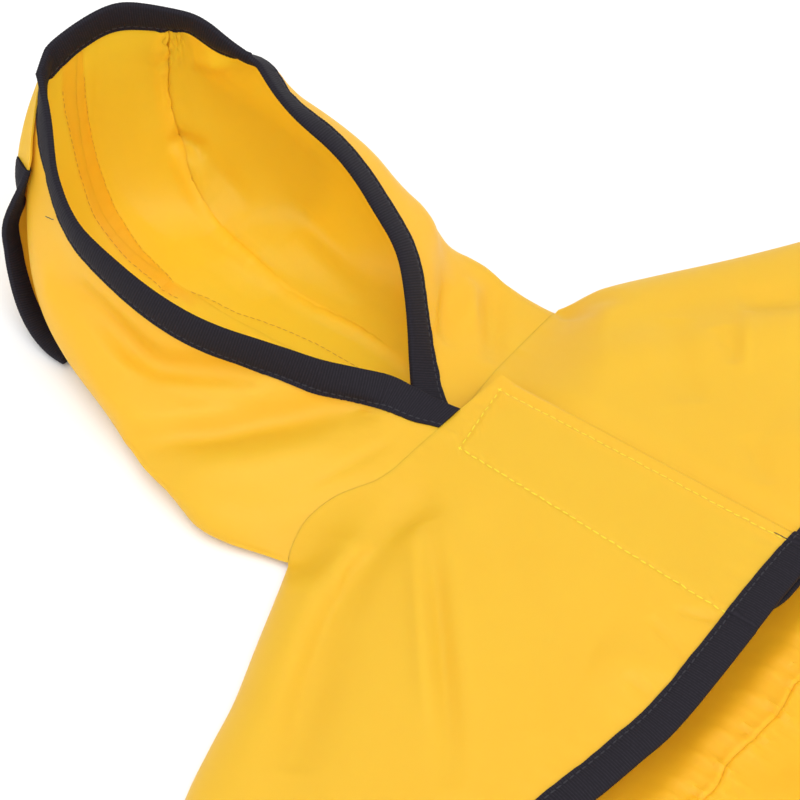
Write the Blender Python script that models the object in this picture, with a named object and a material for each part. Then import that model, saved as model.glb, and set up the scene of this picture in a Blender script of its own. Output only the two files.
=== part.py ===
"""Hooded dog raincoat, laid out chest side up on a flat surface.

The cloth is cut as three hood panels, a hood brim, two front flaps that overlap at a hook-and-loop
closure, and a back in two pieces with a cross seam.  Folded tape binds every open edge.  The garment
is laid out in millimetres: +X runs from the neck seam to the tail, +Y to the dog's left and +Z up,
with the neck seam's ends at X = 0.  At the end the whole is moved so that the origin is the middle
of its underside, and scaled to metres.
"""

import math
from collections import namedtuple

import bpy
import numpy as np
from mathutils import Vector
from mathutils.bvhtree import BVHTree

MM = 0.001

# --- driving sizes, in millimetres -----------------------------------------------------------------
CLOTH = 1.0                 # wall of a single layer of coated cloth
TAPE = 1.0                  # wall of the binding tape
SEAM_GAP = 0.3              # clearance between neighbouring pieces
TAPE_GAP = 0.84             # clearance between the cloth and the tape that wraps it
TAPE_WIDTH = 13.0           # finished width of the bound edges
NECK_HALF = 86.0            # half the flat width of the neck seam
SIDE_HALF = 215.0           # half the flat width across the chest
HEM_X = 158.0               # neck seam to chest hem, on the centre line
TAIL_X = 400.0              # neck seam to tail hem
YOKE_X = 177.0              # neck seam to the cross seam of the back
BACK_COLUMNS = 7            # columns of the back between its tape and the centre line
CHEST_RISE = 25.0           # height of the chest over the table on the centre line
SIDE_RISE = 17.0            # the same, out towards the sides
FOLD_RADIUS = 30.0          # rounding where the chest turns down to the side seam
SIDE_INSET = 0.5            # how far the front flaps' side edges stand in from the back's
RIGHT_FLAP_EDGE = 26.0      # front edge of the right flap, across the centre line
LEFT_FLAP_EDGE = -21.0      # front edge of the left flap, under the right one
FLAP_DROP = 5.6             # the left flap lies this far below the right one
CLOSURE = {"width": 37.0, "centre_y": 2.0, "start_x": 21.0, "end_x": 140.0, "wall": 1.5}

YELLOW = (0.90, 0.50, 0.03, 1.0)
YELLOW_TAPE = (0.86, 0.52, 0.05, 1.0)
NAVY = (0.018, 0.018, 0.035, 1.0)

# --- hood: one row for each section, from the neck seam to the forehead ----------------------------
# mid is the middle of the centre panel.  Each side has its widest point, the edge of the face opening,
# the slope of the cloth at that edge in degrees, and the distance of the centre panel's seam from mid.
Section = namedtuple("Section", "mid near far")
Side = namedtuple("Side", "widest edge slope seam")
HOOD = (
    Section((0, 2, 0),
            Side((0, -86, 4), (13, 2, 27), 6, 9),
            Side((0, 86, 4), (13, -14, 20), 4, 17)),
    Section((-36, 6, 0),
            Side((-37, -101, 10), (-14, -9, 34), 22, 9),
            Side((-32, 76, 12), (-14, 3, 31), 10, 18)),
    Section((-70, 8, 0),
            Side((-70, -90, 11), (-46, -31, 43), 45, 9),
            Side((-50, 66, 22), (-36, 22, 55), 16, 18)),
    Section((-102, 9, 0),
            Side((-100, -80, 15), (-78, -48, 53), 66, 12),
            Side((-72, 62, 32), (-54, 28, 70), 20, 18)),
    Section((-130, 10, 5),
            Side((-127, -72, 17), (-106, -54, 63), 76, 16),
            Side((-94, 60, 42), (-72, 30, 83), 23, 20)),
    Section((-156, 10, 8),
            Side((-150, -63, 22), (-131, -52, 73), 80, 16),
            Side((-118, 57, 50), (-92, 29, 93), 25, 25)),
    Section((-178, 10, 22),
            Side((-170, -52, 32), (-152, -42, 85), 82, 13),
            Side((-142, 52, 60), (-112, 32, 101), 36, 30)),
    Section((-187, 12, 62),
            Side((-180, -36, 62), (-168, -29, 97), 82, 13),
            Side((-161, 44, 76), (-122, 35, 106), 60, 31)),
    Section((-173, 20, 114),
            Side((-182, -8, 108), (-177, -22, 104), None, 20),
            Side((-150, 33, 115), (-126, 36, 108), None, 20)),
)
ROWS_PER_SECTION = 3
CROWN_SOFTENING = 0.6       # how much the crown's corners are rounded
SIDE_COLUMNS, CENTRE_COLUMNS = 12, 4

# --- body outline: x at each distance from the centre line, on the near and the far side ------------
Shoulder = namedtuple("Shoulder", "y near_x far_x")
SHOULDERS = (
    Shoulder(86, 0, 0),
    Shoulder(105, 8, 10),
    Shoulder(124, 16, 22),
    Shoulder(145, 25, 36),
    Shoulder(164, 31, 48),
    Shoulder(184, 38, 60),
    Shoulder(200, 47, 70),
    Shoulder(210, 59, 81),
    Shoulder(SIDE_HALF, 80, 98),
)
HEM_SWEEP = 26.0            # how far the chest hem runs towards the head at the sides
TAIL_HALF = 150.0           # half width of the back where the tail's curve begins
TAIL_CURVE_X = 300.0        # where the sides start to curve in to the tail

# --- folds: soft ridges (height > 0) and troughs along a line -------------------------------------
Fold = namedtuple("Fold", "start end height width")
CHEST_FOLDS = (
    Fold((30, -34), (128, -150), 3.0, 13),
    Fold((38, -30), (145, -96), -2.2, 12),
    Fold((22, -52), (78, -190), -2.6, 14),
    Fold((18, -66), (52, -186), 2.2, 11),
    Fold((30, 45), (110, 150), 2.4, 13),
    Fold((24, 62), (82, 186), -2.2, 14),
    Fold((120, -60), (148, -52), 2.0, 9),
    Fold((110, 70), (150, 78), 2.2, 12),
)
BACK_FOLDS = (
    Fold((196, -40), (300, -120), 4.5, 14),
    Fold((188, 60), (330, 92), 4.0, 15),
    Fold((240, -10), (372, -30), 3.4, 13),
    Fold((166, -150), (166, 150), 3.0, 8),
)
HOOD_FOLDS = (
    Fold((-20, -30, 33), (-92, -74, 40), -3.2, 11),
    Fold((-40, -52, 36), (-110, -86, 20), 2.4, 10),
    Fold((-10, -44, 26), (-52, -90, 22), 2.2, 9),
    Fold((-16, 26, 34), (-60, 62, 46), 2.6, 10),
    Fold((-26, 44, 34), (-48, 74, 28), -2.2, 8),
    Fold((-186, 34, 62), (-150, 40, 8), -2.2, 9),
)

# --- brim, turned back over the crown: the part of the hood's grid it covers, and how far it lifts ---
BRIM = {
    "first_row": 13, "last_row": 23, "first_column": 7, "last_column": 26, "taper": 3.0, "lift": 7.5,
    "lift_reach": 34.0, "floor": 2.5, "floor_softening": 2.0,
}


def smooth(t):
    """Smooth step from 0 to 1."""
    t = np.clip(t, 0.0, 1.0)
    return t * t * (3 - 2 * t)


def bezier(p0, p1, p2, p3, count):
    """Points along a cubic curve."""
    t = np.linspace(0, 1, count)[:, None]
    p0, p1, p2, p3 = (np.array(p, float) for p in (p0, p1, p2, p3))
    return (1 - t) ** 3 * p0 + 3 * (1 - t) ** 2 * t * p1 + 3 * (1 - t) * t**2 * p2 + t**3 * p3


def resample(line, distances):
    """The points of a polyline at the given distances along it."""
    steps = np.linalg.norm(np.diff(line, axis=0), axis=1)
    along = np.concatenate([[0], np.cumsum(steps)])
    return np.stack([np.interp(distances, along, line[:, k]) for k in range(3)], axis=1)


def length_of(line):
    """Length of a polyline."""
    return float(np.linalg.norm(np.diff(line, axis=0), axis=1).sum())


def spaced_by_turn(line, spacing, turn_step):
    """Points along a polyline, spacing apart where it is straight and closer where it turns."""
    runs = np.diff(line, axis=0)
    lengths = np.linalg.norm(runs, axis=1)
    ways = runs / lengths[:, None]
    turns = np.degrees(np.arccos(np.clip(np.einsum("ij,ij->i", ways[1:], ways[:-1]), -1, 1)))
    spread = np.zeros(len(lengths))
    spread[:-1] += turns / 2
    spread[1:] += turns / 2
    density = np.concatenate([[0], np.cumsum(lengths / spacing + spread / turn_step)])
    stops = np.linspace(0, density[-1], max(4, math.ceil(density[-1]) + 1))
    return np.stack([np.interp(stops, density, line[:, k]) for k in range(3)], axis=1)


def spline_rows(rows, per_span):
    """Rows between the given ones, on a Catmull-Rom spline through them."""
    rows = np.array(rows, float)
    padded = np.concatenate([[2 * rows[0] - rows[1]], rows, [2 * rows[-1] - rows[-2]]])
    made = []
    for k in range(len(rows) - 1):
        a, b, c, d = padded[k : k + 4]
        for t in np.arange(per_span) / per_span:
            made.append(
                0.5 * (2 * b + (c - a) * t + (2 * a - 5 * b + 4 * c - d) * t**2
                       + (3 * b - a - 3 * c + d) * t**3)
            )
    return np.array(made + [rows[-1]])


def fold_height(points, folds):
    """Height that the folds add at each point, fading out at a fold's ends."""
    total = np.zeros(points.shape[:-1])
    for fold in folds:
        size = len(fold.start)
        start, end = np.array(fold.start, float), np.array(fold.end, float)
        run = end - start
        share = ((points[..., :size] - start) @ run) / (run @ run)
        nearest = start + np.clip(share, 0, 1)[..., None] * run
        away = np.linalg.norm(points[..., :size] - nearest, axis=-1)
        fade = np.sin(np.clip(share, 0, 1) * math.pi) ** 0.7
        total += fold.height * np.exp(-((away / fold.width) ** 2)) * fade
    return total


def grid_normals(grid):
    """Unit normals of a grid of points."""
    across = np.gradient(grid, axis=0)
    along = np.gradient(grid, axis=1)
    normal = np.cross(across, along)
    return normal / np.maximum(np.linalg.norm(normal, axis=-1, keepdims=True), 1e-9)


# --- surfaces --------------------------------------------------------------------------------------
def half_section(mid, side):
    """Outer curve of half a hood section, from the middle of the floor round the side to the edge."""
    mid, widest, edge = (np.array(p, float) for p in (mid, side.widest, side.edge))
    floor_handle = mid + (widest - mid) * (0.8, 0.85, 0.0)
    low_handle = widest + (mid - widest) * (0.0, 0.0, 0.9)
    lower = bezier(mid, floor_handle, low_handle, widest, 40)
    outward = (widest - edge) * (1, 1, 0)
    outward /= max(np.linalg.norm(outward), 1e-6)
    slope = math.radians(side.slope)
    down = outward * math.cos(slope) - np.array([0, 0, math.sin(slope)])
    straight = min(TAPE_WIDTH + 2, 0.55 * np.linalg.norm(widest - edge))
    shoulder = edge + down * straight
    rest = np.linalg.norm(widest - shoulder)
    lean = 0.45 * math.cos(slope) ** 6
    high_handle = widest + (shoulder - widest) * (lean, lean, 0.5)
    upper = bezier(widest, high_handle, shoulder + down * rest * 0.4, shoulder, 40)
    return np.concatenate([lower, upper[1:], edge[None]])


def rim_half(section, side):
    """Half of the forehead edge, from the middle of the centre panel to its end."""
    near, far = section.near, section.far
    whole = spline_rows([near.edge, near.widest, section.mid, far.widest, far.edge], 20)
    return whole[40::-1] if side is near else whole[40:]


def hood_row(section):
    """Points of one section from the near edge to the far one, with the seams at fixed columns."""
    halves = []
    for side in (section.near, section.far):
        line = rim_half(section, side) if side.slope is None else half_section(section.mid, side)
        end = length_of(line)
        band = min(TAPE_WIDTH + 1, 0.4 * (end - side.seam))
        panel = resample(line, np.linspace(side.seam, end - band, SIDE_COLUMNS - 1))
        bound = resample(line, np.array([end - band / 2, end]))
        centre = resample(line, np.linspace(0, side.seam, CENTRE_COLUMNS + 1))
        halves.append(np.concatenate([centre[:-1], panel, bound]))
    return np.concatenate([halves[0][::-1], halves[1][1:]])


def hood_surface():
    """Outer surface of the hood: rows from the neck to the forehead, columns from near to far."""
    grid = spline_rows([hood_row(section) for section in HOOD], ROWS_PER_SECTION)
    share = np.linspace(0, 1, len(grid))[1:-1, None, None]
    softening = CROWN_SOFTENING * smooth((share - 0.6) / 0.2)
    for _ in range(4):
        around = grid[:-2, 1:-1] + grid[2:, 1:-1] + grid[1:-1, :-2] + grid[1:-1, 2:]
        grid[1:-1, 1:-1] += softening * (around / 4 - grid[1:-1, 1:-1])
    grid = grid + grid_normals(grid) * fold_height(grid, HOOD_FOLDS)[..., None]
    grid[..., 2] = np.maximum(grid[..., 2], 0.0)
    return grid


HOOD_GRID = hood_surface()


def neck_line(near):
    """Half the neck seam over the chest, on to the front edge of its flap, in order of y."""
    row = HOOD_GRID[0]
    if near:
        upper = row[: np.argmin(row[:, 1]) + 1]
        front = upper[0] + (1.2, RIGHT_FLAP_EDGE - upper[0][1], -0.8)
    else:
        upper = row[np.argmax(row[:, 1]) :][::-1]
        front = upper[0] + (0.4, LEFT_FLAP_EDGE - 2 - upper[0][1], -0.5)
    line = np.concatenate([[front], upper])
    return line[np.argsort(line[:, 1])]


NECK = {-1: neck_line(True), 1: neck_line(False)}


def shoulder_line(sign):
    """Outline of one shoulder and side, from the neck to the chest hem, as points on the table."""
    near = sign < 0
    rows = [((s.near_x if near else s.far_x), sign * s.y, 0) for s in SHOULDERS]
    rows.append((HEM_X - HEM_SWEEP, sign * SIDE_HALF, 0))
    return spline_rows(rows, 4)


OUTLINES = {sign: shoulder_line(sign) for sign in (-1, 1)}


def top_edge_x(y, sign):
    """x of a flap's top edge at each y: the neck seam, then the shoulder."""
    y = np.asarray(y, float)
    neck, outline = NECK[sign], OUTLINES[sign]
    shoulder = outline[: 4 * (len(SHOULDERS) - 1) + 1]
    beside = np.interp(sign * y, sign * shoulder[:, 1], shoulder[:, 0])
    return np.where(sign * y > NECK_HALF, beside, np.interp(y, neck[:, 1], neck[:, 0]))


def hem_x(y):
    """x of the chest hem at each y."""
    share = np.clip(np.abs(np.asarray(y, float)) / SIDE_HALF, 0, 1)
    return HEM_X - HEM_SWEEP * share**3


def side_distance(points):
    """Distance from each point to the outline of shoulders and sides."""
    flat = points[..., :2]
    best = np.full(flat.shape[:-1], np.inf)
    for line in OUTLINES.values():
        fine = spline_rows(line, 3)[:, :2]
        away = np.linalg.norm(flat[..., None, :] - fine, axis=-1).min(axis=-1)
        best = np.minimum(best, away)
    return best


def chest_height(points, sign):
    """Height of a flap's outer surface over the table."""
    x, y = points[..., 0], points[..., 1]
    rest = 2 * CLOTH + SEAM_GAP - 0.05
    share = np.clip((side_distance(points) - SIDE_INSET) / FOLD_RADIUS, 0, 1)
    rounding = np.sqrt(1 - (1 - share) ** 2)
    rise = SIDE_RISE + (CHEST_RISE - SIDE_RISE) * np.exp(-((y / 100) ** 2))
    dome = rest + (rise - rest) * rounding + fold_height(points, CHEST_FOLDS) * share
    if sign > 0:
        dome = dome - FLAP_DROP * (1 - smooth((y - RIGHT_FLAP_EDGE - 2) / 22.0))
    neck = np.interp(y, NECK[sign][:, 1], NECK[sign][:, 2])
    into_chest = smooth((x - top_edge_x(y, sign)) / 45.0)
    return np.where(np.abs(y) < NECK_HALF, neck + (dome - neck) * into_chest, dome)


def flap_surface(first_y, sign, columns, rows):
    """Outer surface of a front flap, from its front edge to the side."""
    share = np.linspace(0, 1, columns + 1)
    share = share - 0.12 * np.sin(2 * math.pi * share) / (2 * math.pi)
    y = first_y + (sign * (SIDE_HALF - SIDE_INSET) - first_y) * share
    share = np.linspace(0, 1, rows + 1)
    share = share - 0.5 * np.sin(2 * math.pi * share) / (2 * math.pi)
    top, bottom = top_edge_x(y, sign) + SEAM_GAP, hem_x(y)
    grid = np.zeros((rows + 1, columns + 1, 3))
    grid[..., 0] = top + (bottom - top) * share[:, None]
    grid[..., 1] = y
    grid[..., 2] = chest_height(grid, sign)
    return grid


def back_half_width(x, near):
    """Half width of the back at each x."""
    x = np.asarray(x, float)
    line = OUTLINES[-1 if near else 1]
    chest = np.interp(x, line[:, 0], np.abs(line[:, 1]))
    tail_share = np.clip((x - TAIL_CURVE_X) / (TAIL_X - TAIL_CURVE_X), 0, 1)
    tail = SIDE_HALF - (SIDE_HALF - TAIL_HALF) * smooth((x - HEM_X) / (TAIL_X - HEM_X))
    return np.where(x > HEM_X - HEM_SWEEP, tail * np.sqrt(1 - 0.86 * tail_share**3), chest)


def back_surface(xs):
    """Underside of the back between the given stations, raised a little along its bound edge."""
    flat, level = TAPE_WIDTH + 6, TAPE_WIDTH + 20
    grid = np.zeros((len(xs), 2 * BACK_COLUMNS + 5, 3))
    for row, x in enumerate(xs):
        near, far = back_half_width(x, True), back_half_width(x, False)
        grid[row, :, 0] = x
        grid[row, :, 1] = [-near, flat - near, *np.linspace(level - near, 0, BACK_COLUMNS + 1),
                           *np.linspace(0, far - level, BACK_COLUMNS + 1)[1:], far - flat, far]
    free = [grid[:, 0], grid[:, -1]] + [grid[-1]] * (xs[-1] == TAIL_X)
    outline = np.concatenate([resample(line, np.arange(0, length_of(line), 3.0)) for line in free])
    inset = np.linalg.norm((grid[:, :, None] - outline)[..., :2], axis=-1).min(axis=-1)
    past_hem = smooth((grid[..., 0] - (HEM_X - HEM_SWEEP) + 12) / 14.0)
    bound = (TAPE + TAPE_GAP + 0.05) * (1 - smooth((inset - flat) / (level - flat)))
    ripples = np.maximum(fold_height(grid, BACK_FOLDS), 0.0) * smooth((inset - 10) / 30.0)
    grid[..., 2] = bound * past_hem + ripples * smooth((grid[..., 0] - 130) / 20.0)
    return grid


def drawn_in(grid):
    """A grid narrowed towards its last rows."""
    rows, columns = grid.shape[:2]
    made = np.empty_like(grid)
    for r in range(rows):
        narrow = BRIM["taper"] * smooth((r / (rows - 1) - 0.5) / 0.5)
        places = np.linspace(narrow, columns - 1 - narrow, columns)
        for k in range(3):
            made[r, :, k] = np.interp(places, np.arange(columns), grid[r, :, k])
    return made


def brim_surface(outer):
    """Outer surface of the brim and its normals: the hood's own, moved out towards the free edges."""
    rows, columns = (slice(BRIM[f"first_{way}"], BRIM[f"last_{way}"] + 1) for way in ("row", "column"))
    under, normals = drawn_in(outer[rows, columns]), drawn_in(grid_normals(outer)[rows, columns])
    free = np.concatenate([under[:, 0], under[0], under[:, -1]])
    from_edge = np.linalg.norm(under[:, :, None] - free, axis=-1).min(axis=-1)
    root_fade = 1 - 0.8 * smooth((np.arange(len(under)) / (len(under) - 1) - 0.6) / 0.4)[:, None]
    rest = CLOTH + 1.0
    lift = (BRIM["lift"] - rest) * root_fade * (1 - smooth(from_edge / BRIM["lift_reach"]))
    grid = under + normals * (rest + lift)[..., None]
    above_floor = grid[..., 2] - BRIM["floor"]
    grid[..., 2] = BRIM["floor"] + (above_floor + np.hypot(above_floor, BRIM["floor_softening"])) / 2
    return grid, grid_normals(grid)


# --- solids ----------------------------------------------------------------------------------------
def material(name, colour, roughness):
    """A Principled material."""
    made = bpy.data.materials.new(name)
    made.use_nodes = True
    shader = made.node_tree.nodes["Principled BSDF"]
    shader.inputs["Base Color"].default_value = colour
    shader.inputs["Roughness"].default_value = roughness
    shader.inputs["Metallic"].default_value = 0.0
    return made


def add_object(name, points, faces, finish):
    """A shaded mesh object from points in millimetres."""
    mesh = bpy.data.meshes.new(name)
    mesh.from_pydata([tuple(p) for p in points], [], faces)
    mesh.validate()
    mesh.materials.append(finish)
    made = bpy.data.objects.new(name, mesh)
    bpy.context.scene.collection.objects.link(made)
    mesh.shade_smooth()
    mesh.set_sharp_from_angle(angle=math.radians(50))
    return made


def skin_faces(rows, columns):
    """Faces of two stacked grids of points, joined round their rims into one closed skin."""
    def first(r, c):
        return r * columns + c

    def second(r, c):
        return rows * columns + r * columns + c

    faces = []
    for r in range(rows - 1):
        for c in range(columns - 1):
            faces.append((first(r, c), first(r + 1, c), first(r + 1, c + 1), first(r, c + 1)))
            faces.append((second(r, c), second(r, c + 1), second(r + 1, c + 1), second(r + 1, c)))
    for r in range(rows - 1):
        last = columns - 1
        faces.append((first(r, 0), second(r, 0), second(r + 1, 0), first(r + 1, 0)))
        faces.append((first(r, last), first(r + 1, last), second(r + 1, last), second(r, last)))
    for c in range(columns - 1):
        last = rows - 1
        faces.append((first(0, c), first(0, c + 1), second(0, c + 1), second(0, c)))
        faces.append((first(last, c), second(last, c), second(last, c + 1), first(last, c + 1)))
    return faces


def sheet(name, outer, inward, wall, finish):
    """A cloth wall between an outer grid and the same grid moved inwards."""
    rows, columns = outer.shape[:2]
    points = np.concatenate([outer.reshape(-1, 3), (outer + inward * wall).reshape(-1, 3)])
    faces = skin_faces(rows, columns)
    middle = outer[rows // 2, columns // 2]
    face_normal = np.cross(
        outer[rows // 2 + 1, columns // 2] - middle, outer[rows // 2, columns // 2 + 1] - middle
    )
    if face_normal @ inward[rows // 2, columns // 2] > 0:
        faces = [face[::-1] for face in faces]
    return add_object(name, points, faces, finish)


def tree_of(grid):
    """A search tree of a grid's surface."""
    rows, columns = grid.shape[:2]
    index = np.arange(rows * columns).reshape(rows, columns)
    quads = [
        (index[r, c], index[r, c + 1], index[r + 1, c + 1], index[r + 1, c])
        for r in range(rows - 1)
        for c in range(columns - 1)
    ]
    triangles = [t for q in quads for t in ((q[0], q[1], q[2]), (q[0], q[2], q[3]))]
    return BVHTree.FromPolygons([Vector(p) for p in grid.reshape(-1, 3)], triangles)


def tape_profile(width, steps):
    """Cross-section of the folded tape: distance in from the cloth's edge, and height over its middle."""
    slot = CLOTH / 2 + TAPE_GAP
    skin = slot + TAPE
    reaches = [width * k / steps for k in range(steps + 1)]
    outside = [(reach, -skin) for reach in reaches[::-1]]
    outside += [(-TAPE_GAP - TAPE, -skin / 2), (-TAPE_GAP - TAPE, skin / 2)]
    outside += [(reach, skin) for reach in reaches]
    inside = [(reach, slot) for reach in reaches[:0:-1]] + [(-TAPE_GAP, slot), (-TAPE_GAP, -slot)]
    inside += [(reach, -slot) for reach in reaches[1:]]
    return outside + inside


def rim(grid, sides, spacing, turn_step=15.0):
    """Points along chosen sides of a grid, and at each the way into the sheet."""
    inside = grid[1:-1, 1:-1]
    inside = np.pad(inside, ((1, 1), (1, 1), (0, 0)), mode="edge")
    edges = {
        "first column": (grid[:, 0], inside[:, 0]),
        "last column": (grid[::-1, -1], inside[::-1, -1]),
        "last row": (grid[-1], inside[-1]),
    }
    outer = np.concatenate([edges[side][0][1 if k else 0 :] for k, side in enumerate(sides)])
    inner = np.concatenate([edges[side][1][1 if k else 0 :] for k, side in enumerate(sides)])
    inward = (inner - outer) / np.linalg.norm(inner - outer, axis=1, keepdims=True)
    edge = spaced_by_turn(outer, spacing, turn_step)
    nearest = np.linalg.norm(edge[:, None] - outer[None], axis=2).argmin(axis=1)
    return edge, inward[nearest]


def binding(name, middle, edge, hints, cuts, finish, width=TAPE_WIDTH, steps=2):
    """Folded tape wrapped round an edge of a sheet.

    middle is the grid of the sheet's middle surface, edge the points of the free edge, hints the way
    into the sheet at each, and cuts the directions in which the tape's two ends are cut.
    """
    tree = tree_of(middle)
    runs = np.diff(edge, axis=0)
    runs /= np.linalg.norm(runs, axis=1, keepdims=True)
    tangent = np.concatenate([runs[:1], runs[1:] + runs[:-1], runs[-1:]])
    tangent /= np.linalg.norm(tangent, axis=1, keepdims=True)
    along = np.concatenate([[0], np.cumsum(np.linalg.norm(np.diff(edge, axis=0), axis=1))])
    profile = tape_profile(width, steps)
    normals = np.array([tree.find_nearest(Vector(at + way * 2.0))[1] for at, way in zip(edge, hints)])
    ways = np.cross(tangent, normals)
    ways *= np.sign(np.einsum("ij,ij->i", ways, hints).sum())
    for _ in range(3):
        ways[1:-1] = ways[:-2] + 2 * ways[1:-1] + ways[2:]
        ways -= tangent * np.einsum("ij,ij->i", ways, tangent)[:, None]
        ways /= np.linalg.norm(ways, axis=1, keepdims=True)
    points = []
    for k, at in enumerate(edge):
        inward = ways[k]
        for cut, distance in zip(cuts, (along[k], along[-1] - along[k])):
            if cut is not None:
                share = 1 - smooth(distance / (2 * width))
                mixed = inward + (cut - inward) * share
                inward = mixed / max(mixed @ inward, 0.35)
        for reach, height in profile:
            if reach <= 0:
                points.append(at + inward * reach + normals[k] * height)
            else:
                place, normal, _, _ = tree.find_nearest(Vector(at + inward * reach))
                points.append(np.array(place) + np.array(normal) * height)
    count, size = len(profile), len(edge)
    faces = []
    for k in range(size - 1):
        for j in range(count):
            a, b = k * count + j, k * count + (j + 1) % count
            faces.append((a, b, b + count, a + count))
    low_inner, high_inner = count - steps - 1, count - steps - 2
    caps = [(k, k + 1, count - 2 - k, count - 1 - k) for k in range(steps - 1)]
    caps += [(steps - 1, steps, low_inner, low_inner + 1), (steps, steps + 1, low_inner)]
    caps += [(steps + 1, steps + 2, high_inner, low_inner), (steps + 2, steps + 3, high_inner)]
    caps += [(steps + 3 + k, steps + 4 + k, high_inner - 1 - k, high_inner - k) for k in range(steps)]
    last = (size - 1) * count
    faces += [cap[::-1] for cap in caps]
    faces += [tuple(last + j for j in cap) for cap in caps]
    made = add_object(name, np.array(points), faces, finish)
    face_outwards(made)
    return made


def face_outwards(obj):
    """Turns a closed mesh inside out if its volume is negative."""
    mesh = obj.data
    mesh.calc_loop_triangles()
    points = np.array([v.co for v in mesh.vertices])
    triangles = np.array([t.vertices for t in mesh.loop_triangles])
    a, b, c = (points[triangles[:, k]] for k in range(3))
    if np.einsum("ij,ij->i", a, np.cross(b, c)).sum() < 0:
        mesh.flip_normals()


def trimmed(grid, first_column, last_column):
    """A panel of a grid, drawn in from its neighbours by half the seam gap."""
    panel = grid[:, first_column : last_column + 1].copy()
    for side, step in ((0, 1), (-1, -2)):
        if (side == 0 and first_column > 0) or (side == -1 and last_column < grid.shape[1] - 1):
            run = panel[:, step] - panel[:, side]
            panel[:, side] += run / np.linalg.norm(run, axis=1, keepdims=True) * SEAM_GAP / 2
    return panel


# --- pieces ----------------------------------------------------------------------------------------
def build_hood(yellow, navy):
    """The three hood panels, the tape round the face opening and the brim with its own tape."""
    outer = HOOD_GRID
    inward = -grid_normals(outer)
    first_seam = SIDE_COLUMNS
    last_seam = SIDE_COLUMNS + 2 * CENTRE_COLUMNS
    last = outer.shape[1] - 1
    for name, a, b in (
        ("hood_side_right", 0, first_seam),
        ("hood_centre", first_seam, last_seam),
        ("hood_side_left", last_seam, last),
    ):
        sheet(name, trimmed(outer, a, b), inward[:, a : b + 1], CLOTH, yellow)

    middle = outer + inward * CLOTH / 2
    edge, hints = rim(middle, ("first column", "last row", "last column"), 8.0, 10.0)
    cuts = [middle[0, 2] - middle[0, 0], middle[0, -3] - middle[0, -1]]
    cuts = [cut / np.linalg.norm(cut) for cut in cuts]
    for end, step in ((0, 1), (-1, -2)):
        run = edge[step] - edge[end]
        edge[end] += run / np.linalg.norm(run) * SEAM_GAP
    binding("hood_binding", middle, edge, hints, cuts, navy)

    brim, out = brim_surface(outer)
    sheet("brim", brim, -out, CLOTH, yellow)
    brim_middle = (brim - out * CLOTH / 2)[::-1]
    edge, hints = rim(brim_middle, ("first column", "last row", "last column"), 12.0)
    binding("brim_binding", brim_middle, edge[1:-1], hints[1:-1], (None, None), navy, width=10.0)


def build_chest(yellow, navy):
    """The two front flaps, the closure between them and the tape along their hems."""
    right = flap_surface(RIGHT_FLAP_EDGE, -1, 26, 14)
    left = flap_surface(LEFT_FLAP_EDGE, 1, 26, 14)
    for name, grid in (("front_right", right), ("front_left", left)):
        normal = grid_normals(grid)
        down = np.where(normal[..., 2:] > 0, -normal, normal)
        sheet(name, grid, down, CLOTH, yellow)
        middle = grid + down * CLOTH / 2
        reach = SIDE_HALF - 24
        hem, hints = rim(middle, ("last row",), 20.0)
        kept = np.abs(hem[:, 1]) < reach
        name = name.replace("front", "hem_binding")
        binding(name, middle, hem[kept], hints[kept], (None, None), navy)


def build_closure(closure):
    """Hook strip under the right flap and loop strip on the left one, a wall apart."""
    size = CLOSURE
    y = np.linspace(-0.5, 0.5, 5) * size["width"] + size["centre_y"]
    x = np.linspace(size["start_x"], size["end_x"], 12)
    grid = np.zeros((len(x), len(y), 3))
    grid[..., 0], grid[..., 1] = x[:, None], y
    grid[..., 2] = chest_height(grid, -1)
    down = np.zeros_like(grid)
    down[..., 2] = -1.0
    hook_top = grid + down * (CLOTH + SEAM_GAP)
    loop_top = hook_top + down * (size["wall"] + SEAM_GAP + 0.1)
    sheet("hook_strip", hook_top, down, size["wall"], closure)
    sheet("loop_strip", loop_top, down, size["wall"], closure)


def build_back(yellow, navy):
    """Upper and lower back, lying on the table, and the tape round the sides and the tail."""
    up = np.array([0.0, 0.0, 1.0])
    upper_x = np.array([SEAM_GAP, 6, 14, 24, 36, 50, 66, 84, 102, 120, 138, 152, 165, YOKE_X])
    lower_x = np.linspace(YOKE_X + SEAM_GAP, TAIL_X, 14)
    grids = []
    for name, xs in (("back_upper", upper_x), ("back_lower", lower_x)):
        grid = back_surface(xs)
        sheet(name, grid, np.broadcast_to(up, grid.shape), CLOTH, yellow)
        grids.append(grid + up * CLOTH / 2)
    middle = np.concatenate(grids)
    edge, hints = rim(middle, ("first column", "last row", "last column"), 30.0, 8.0)
    kept = edge[:, 0] > HEM_X - HEM_SWEEP + 6
    binding("back_binding", middle, edge[kept], hints[kept], (None, None), navy)


def stand_on_origin():
    """Moves the middle of the garment's underside to the origin, in metres."""
    objects = list(bpy.context.scene.collection.objects)
    points = np.concatenate([[v.co for v in o.data.vertices] for o in objects])
    low, high = points.min(axis=0), points.max(axis=0)
    shift = np.array([(low[0] + high[0]) / 2, (low[1] + high[1]) / 2, low[2]])
    for obj in objects:
        for vertex in obj.data.vertices:
            vertex.co = Vector((np.array(vertex.co) - shift) * MM)
    print("underside middle at", np.round(shift, 3), "low", np.round(low, 2), "high", np.round(high, 2))


def main():
    """Builds the raincoat."""
    for obj in list(bpy.data.objects):
        bpy.data.objects.remove(obj)
    yellow = material("yellow_cloth", YELLOW, 0.55)
    navy = material("navy_tape", NAVY, 0.75)
    closure = material("closure_tape", YELLOW_TAPE, 0.8)
    build_hood(yellow, navy)
    build_chest(yellow, navy)
    build_closure(closure)
    build_back(yellow, navy)
    stand_on_origin()


main()
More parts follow.
